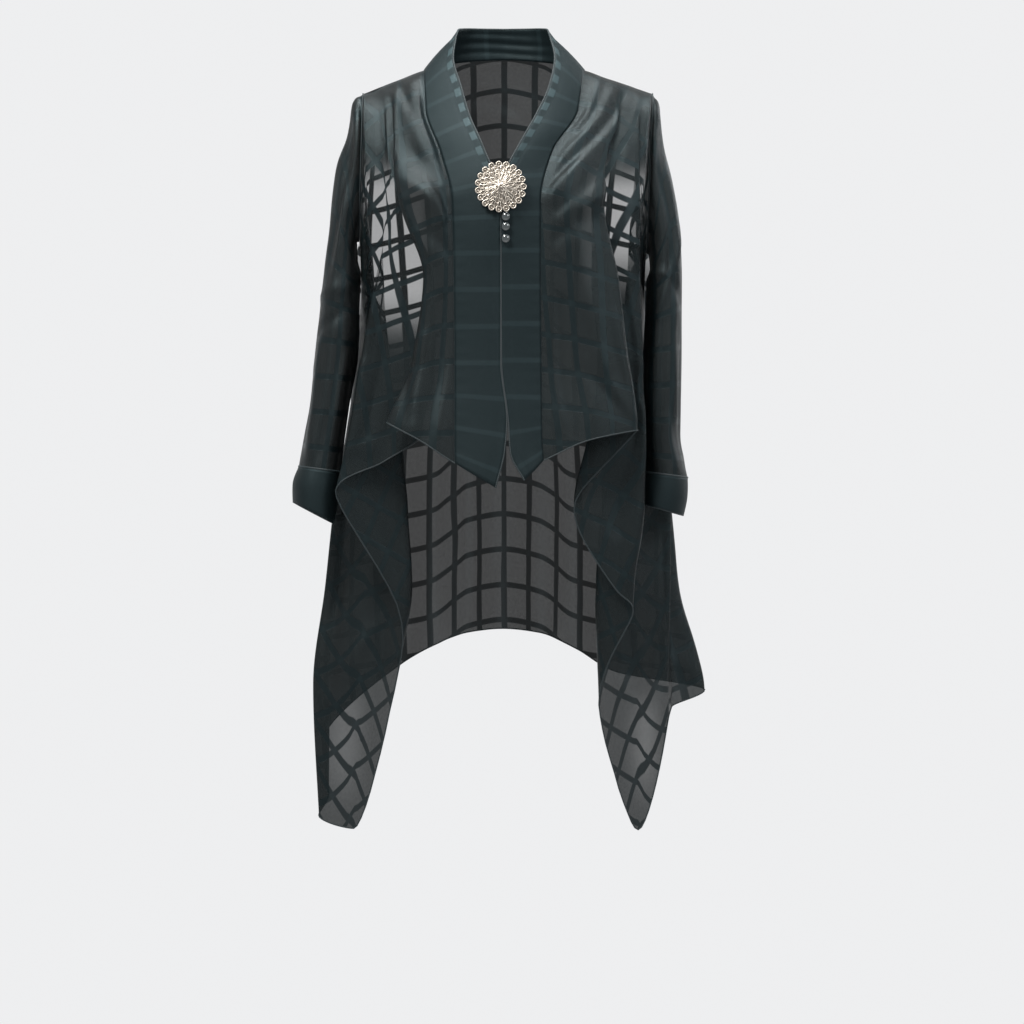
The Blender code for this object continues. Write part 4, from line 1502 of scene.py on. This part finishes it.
        # Silver, then two darker copies of it that paint shade: on the sunk leaves, and on the
        # plate's back and the flower's middle.
        metals = (finishes.silver, finishes.leaf, finishes.painted_shade_silver)
        for node, groups in (("brooch_plate", self.plate_groups()),
                             ("brooch_rosette", self.rosette_groups()),
                             ("brooch_centre", self.centre_groups())):
            made = join_rings(f"{node}_filigree", groups, metals)
            made.location = [value * MM for value in self.centre]
            made.rotation_euler = (math.radians(90) - self.tilt, 0, 0)
            bpy.context.view_layer.update()
            place_on(made, "pale_silver", node)
            LOG.info("%s: %d faces", node, len(made.data.polygons))


@dataclass
class Buttons:
    """Domed glossy buttons down the meeting edge."""

    out: float = 4.2
    radius: float = 6.0
    profile: tuple[tuple[float, float], ...] = (
        (0.02, 4.20), (1.2, 4.16), (2.5, 3.98), (3.6, 3.60), (4.3, 3.12), (4.6, 2.80),
        (4.8, 2.74), (5.1, 2.86), (5.5, 2.70), (5.85, 2.20), (6.0, 1.50), (5.9, 0.80),
        (5.5, 0.20), (4.8, 0.02), (0.02, 0.0),
    )

    def build(self, finishes: Finishes) -> None:
        """Turns each button, and sets it where its solid is."""
        for number in (1, 2, 3):
            low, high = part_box(f"button_{number}")
            made = join_rings(
                f"button_{number}_dome", [(lathe(self.profile, 48), False, 0)], [finishes.button]
            )
            made.location = ((low[0] + high[0]) / 2, high[1], (low[2] + high[2]) / 2)
            made.rotation_euler = (math.radians(90), 0, 0)
            bpy.context.view_layer.update()
            place_on(made, "dark_button", f"button_{number}")
            LOG.info("button_%d: set", number)


# ---------------------------------------------------------------------------- studio


@dataclass
class Studio:
    """A pale floor, soft lights and the camera."""

    aim: tuple[float, float, float] = (0.013, 0.0, -0.632)
    distance: float = 12.21
    lens: float = 300.0
    floor: float = -3.0
    reach: float = 25.0

    def ground(self, finishes: Finishes) -> None:
        """A wide pale floor, well below the garment."""
        line = np.linspace(-self.reach, self.reach, 13)
        rows = np.array([[(x, y, self.floor) for x in line] for y in line[::-1]]) / MM
        paper = make_mesh("studio_floor", rows, rows[..., :2] * MM, finishes.paper)

    def light(self, name: str, place: tuple[float, float, float], size: float, power: float,
              colour: tuple[float, float, float]) -> None:
        """A soft square light aimed at the garment.

        Args:
            name: The light's name.
            place: Where it stands, in metres.
            size: The length of its side, in metres.
            power: In watts.
            colour: Its colour.
        """
        lamp = bpy.data.lights.new(name, "AREA")
        lamp.shape = "SQUARE"
        lamp.size, lamp.energy, lamp.color = size, power, colour
        made = bpy.data.objects.new(name, lamp)
        made.location = place
        away = np.array(place) - np.array((0.0, 0.0, -0.45))
        yaw = math.atan2(away[0], -away[1])
        pitch = math.atan2(away[2], math.hypot(away[0], away[1]))
        made.rotation_euler = (math.radians(90) - pitch, 0, yaw)
        bpy.context.scene.collection.objects.link(made)

    def build(self, finishes: Finishes) -> None:
        """Sets up the floor, the lights, the air and the camera."""
        self.ground(finishes)
        self.light("key", (-0.8, -1.3, 1.25), 0.6, 112.0, (1.0, 0.99, 0.97))
        self.light("fill", (1.5, -1.5, 0.7), 0.8, 34.0, (0.96, 0.98, 1.0))
        self.light("top", (0.1, -0.1, 1.5), 0.7, 62.0, (1.0, 0.99, 0.98))
        self.light("rim", (1.7, 0.9, 0.4), 0.9, 20.0, (0.96, 0.98, 1.0))
        world = bpy.data.worlds.new("air")
        world.use_nodes = True
        air = world.node_tree.nodes["Background"]
        air.inputs["Color"].default_value = (0.90, 0.905, 0.915, 1)
        air.inputs["Strength"].default_value = 0.95
        bpy.context.scene.world = world
        bpy.context.scene.view_settings.view_transform = "Standard"
        camera = bpy.data.cameras.new("camera")
        camera.lens = self.lens
        made = bpy.data.objects.new("camera", camera)
        made.location = (self.aim[0], self.aim[1] - self.distance, self.aim[2])
        made.rotation_euler = (math.radians(90), 0, 0)
        bpy.context.scene.collection.objects.link(made)
        bpy.context.scene.camera = made


def main() -> None:
    """Builds the studio and every piece, and notes the sizes."""
    logging.basicConfig(level=logging.INFO, format="%(name)s %(message)s")
    finishes = Finishes.make()
    Studio().build(finishes)
    form = BodyForm.make()
    panels = (
        Panel("front_left", 0, SIDE_SEAM, 1.0, False, (0.75, 0.90), 0.234, 11, ("collar_back",)),
        Panel("front_right", LAST - SIDE_SEAM, LAST, LAST - 1.0, True, (0.66, 0.96), 0.265,
              23, ("collar_back",)),
        Panel("back", SIDE_SEAM, LAST - SIDE_SEAM, CENTRE_BACK, False, (0.69, 1.05), 0.528, 37,
              ("collar_back",)),
    )
    for panel in panels:
        panel.build(form, finishes)
    Sleeve(Side.LEFT, 51, (0.227, 0.438), (0.226, 0.066)).build(finishes)
    Sleeve(Side.RIGHT, 67, (0.222, 0.434), (0.214, 0.055)).build(finishes)
    NeckBand().build(form, finishes)
    Buttons().build(finishes)
    Brooch().build(finishes)


if __name__ == "__main__":
    main()
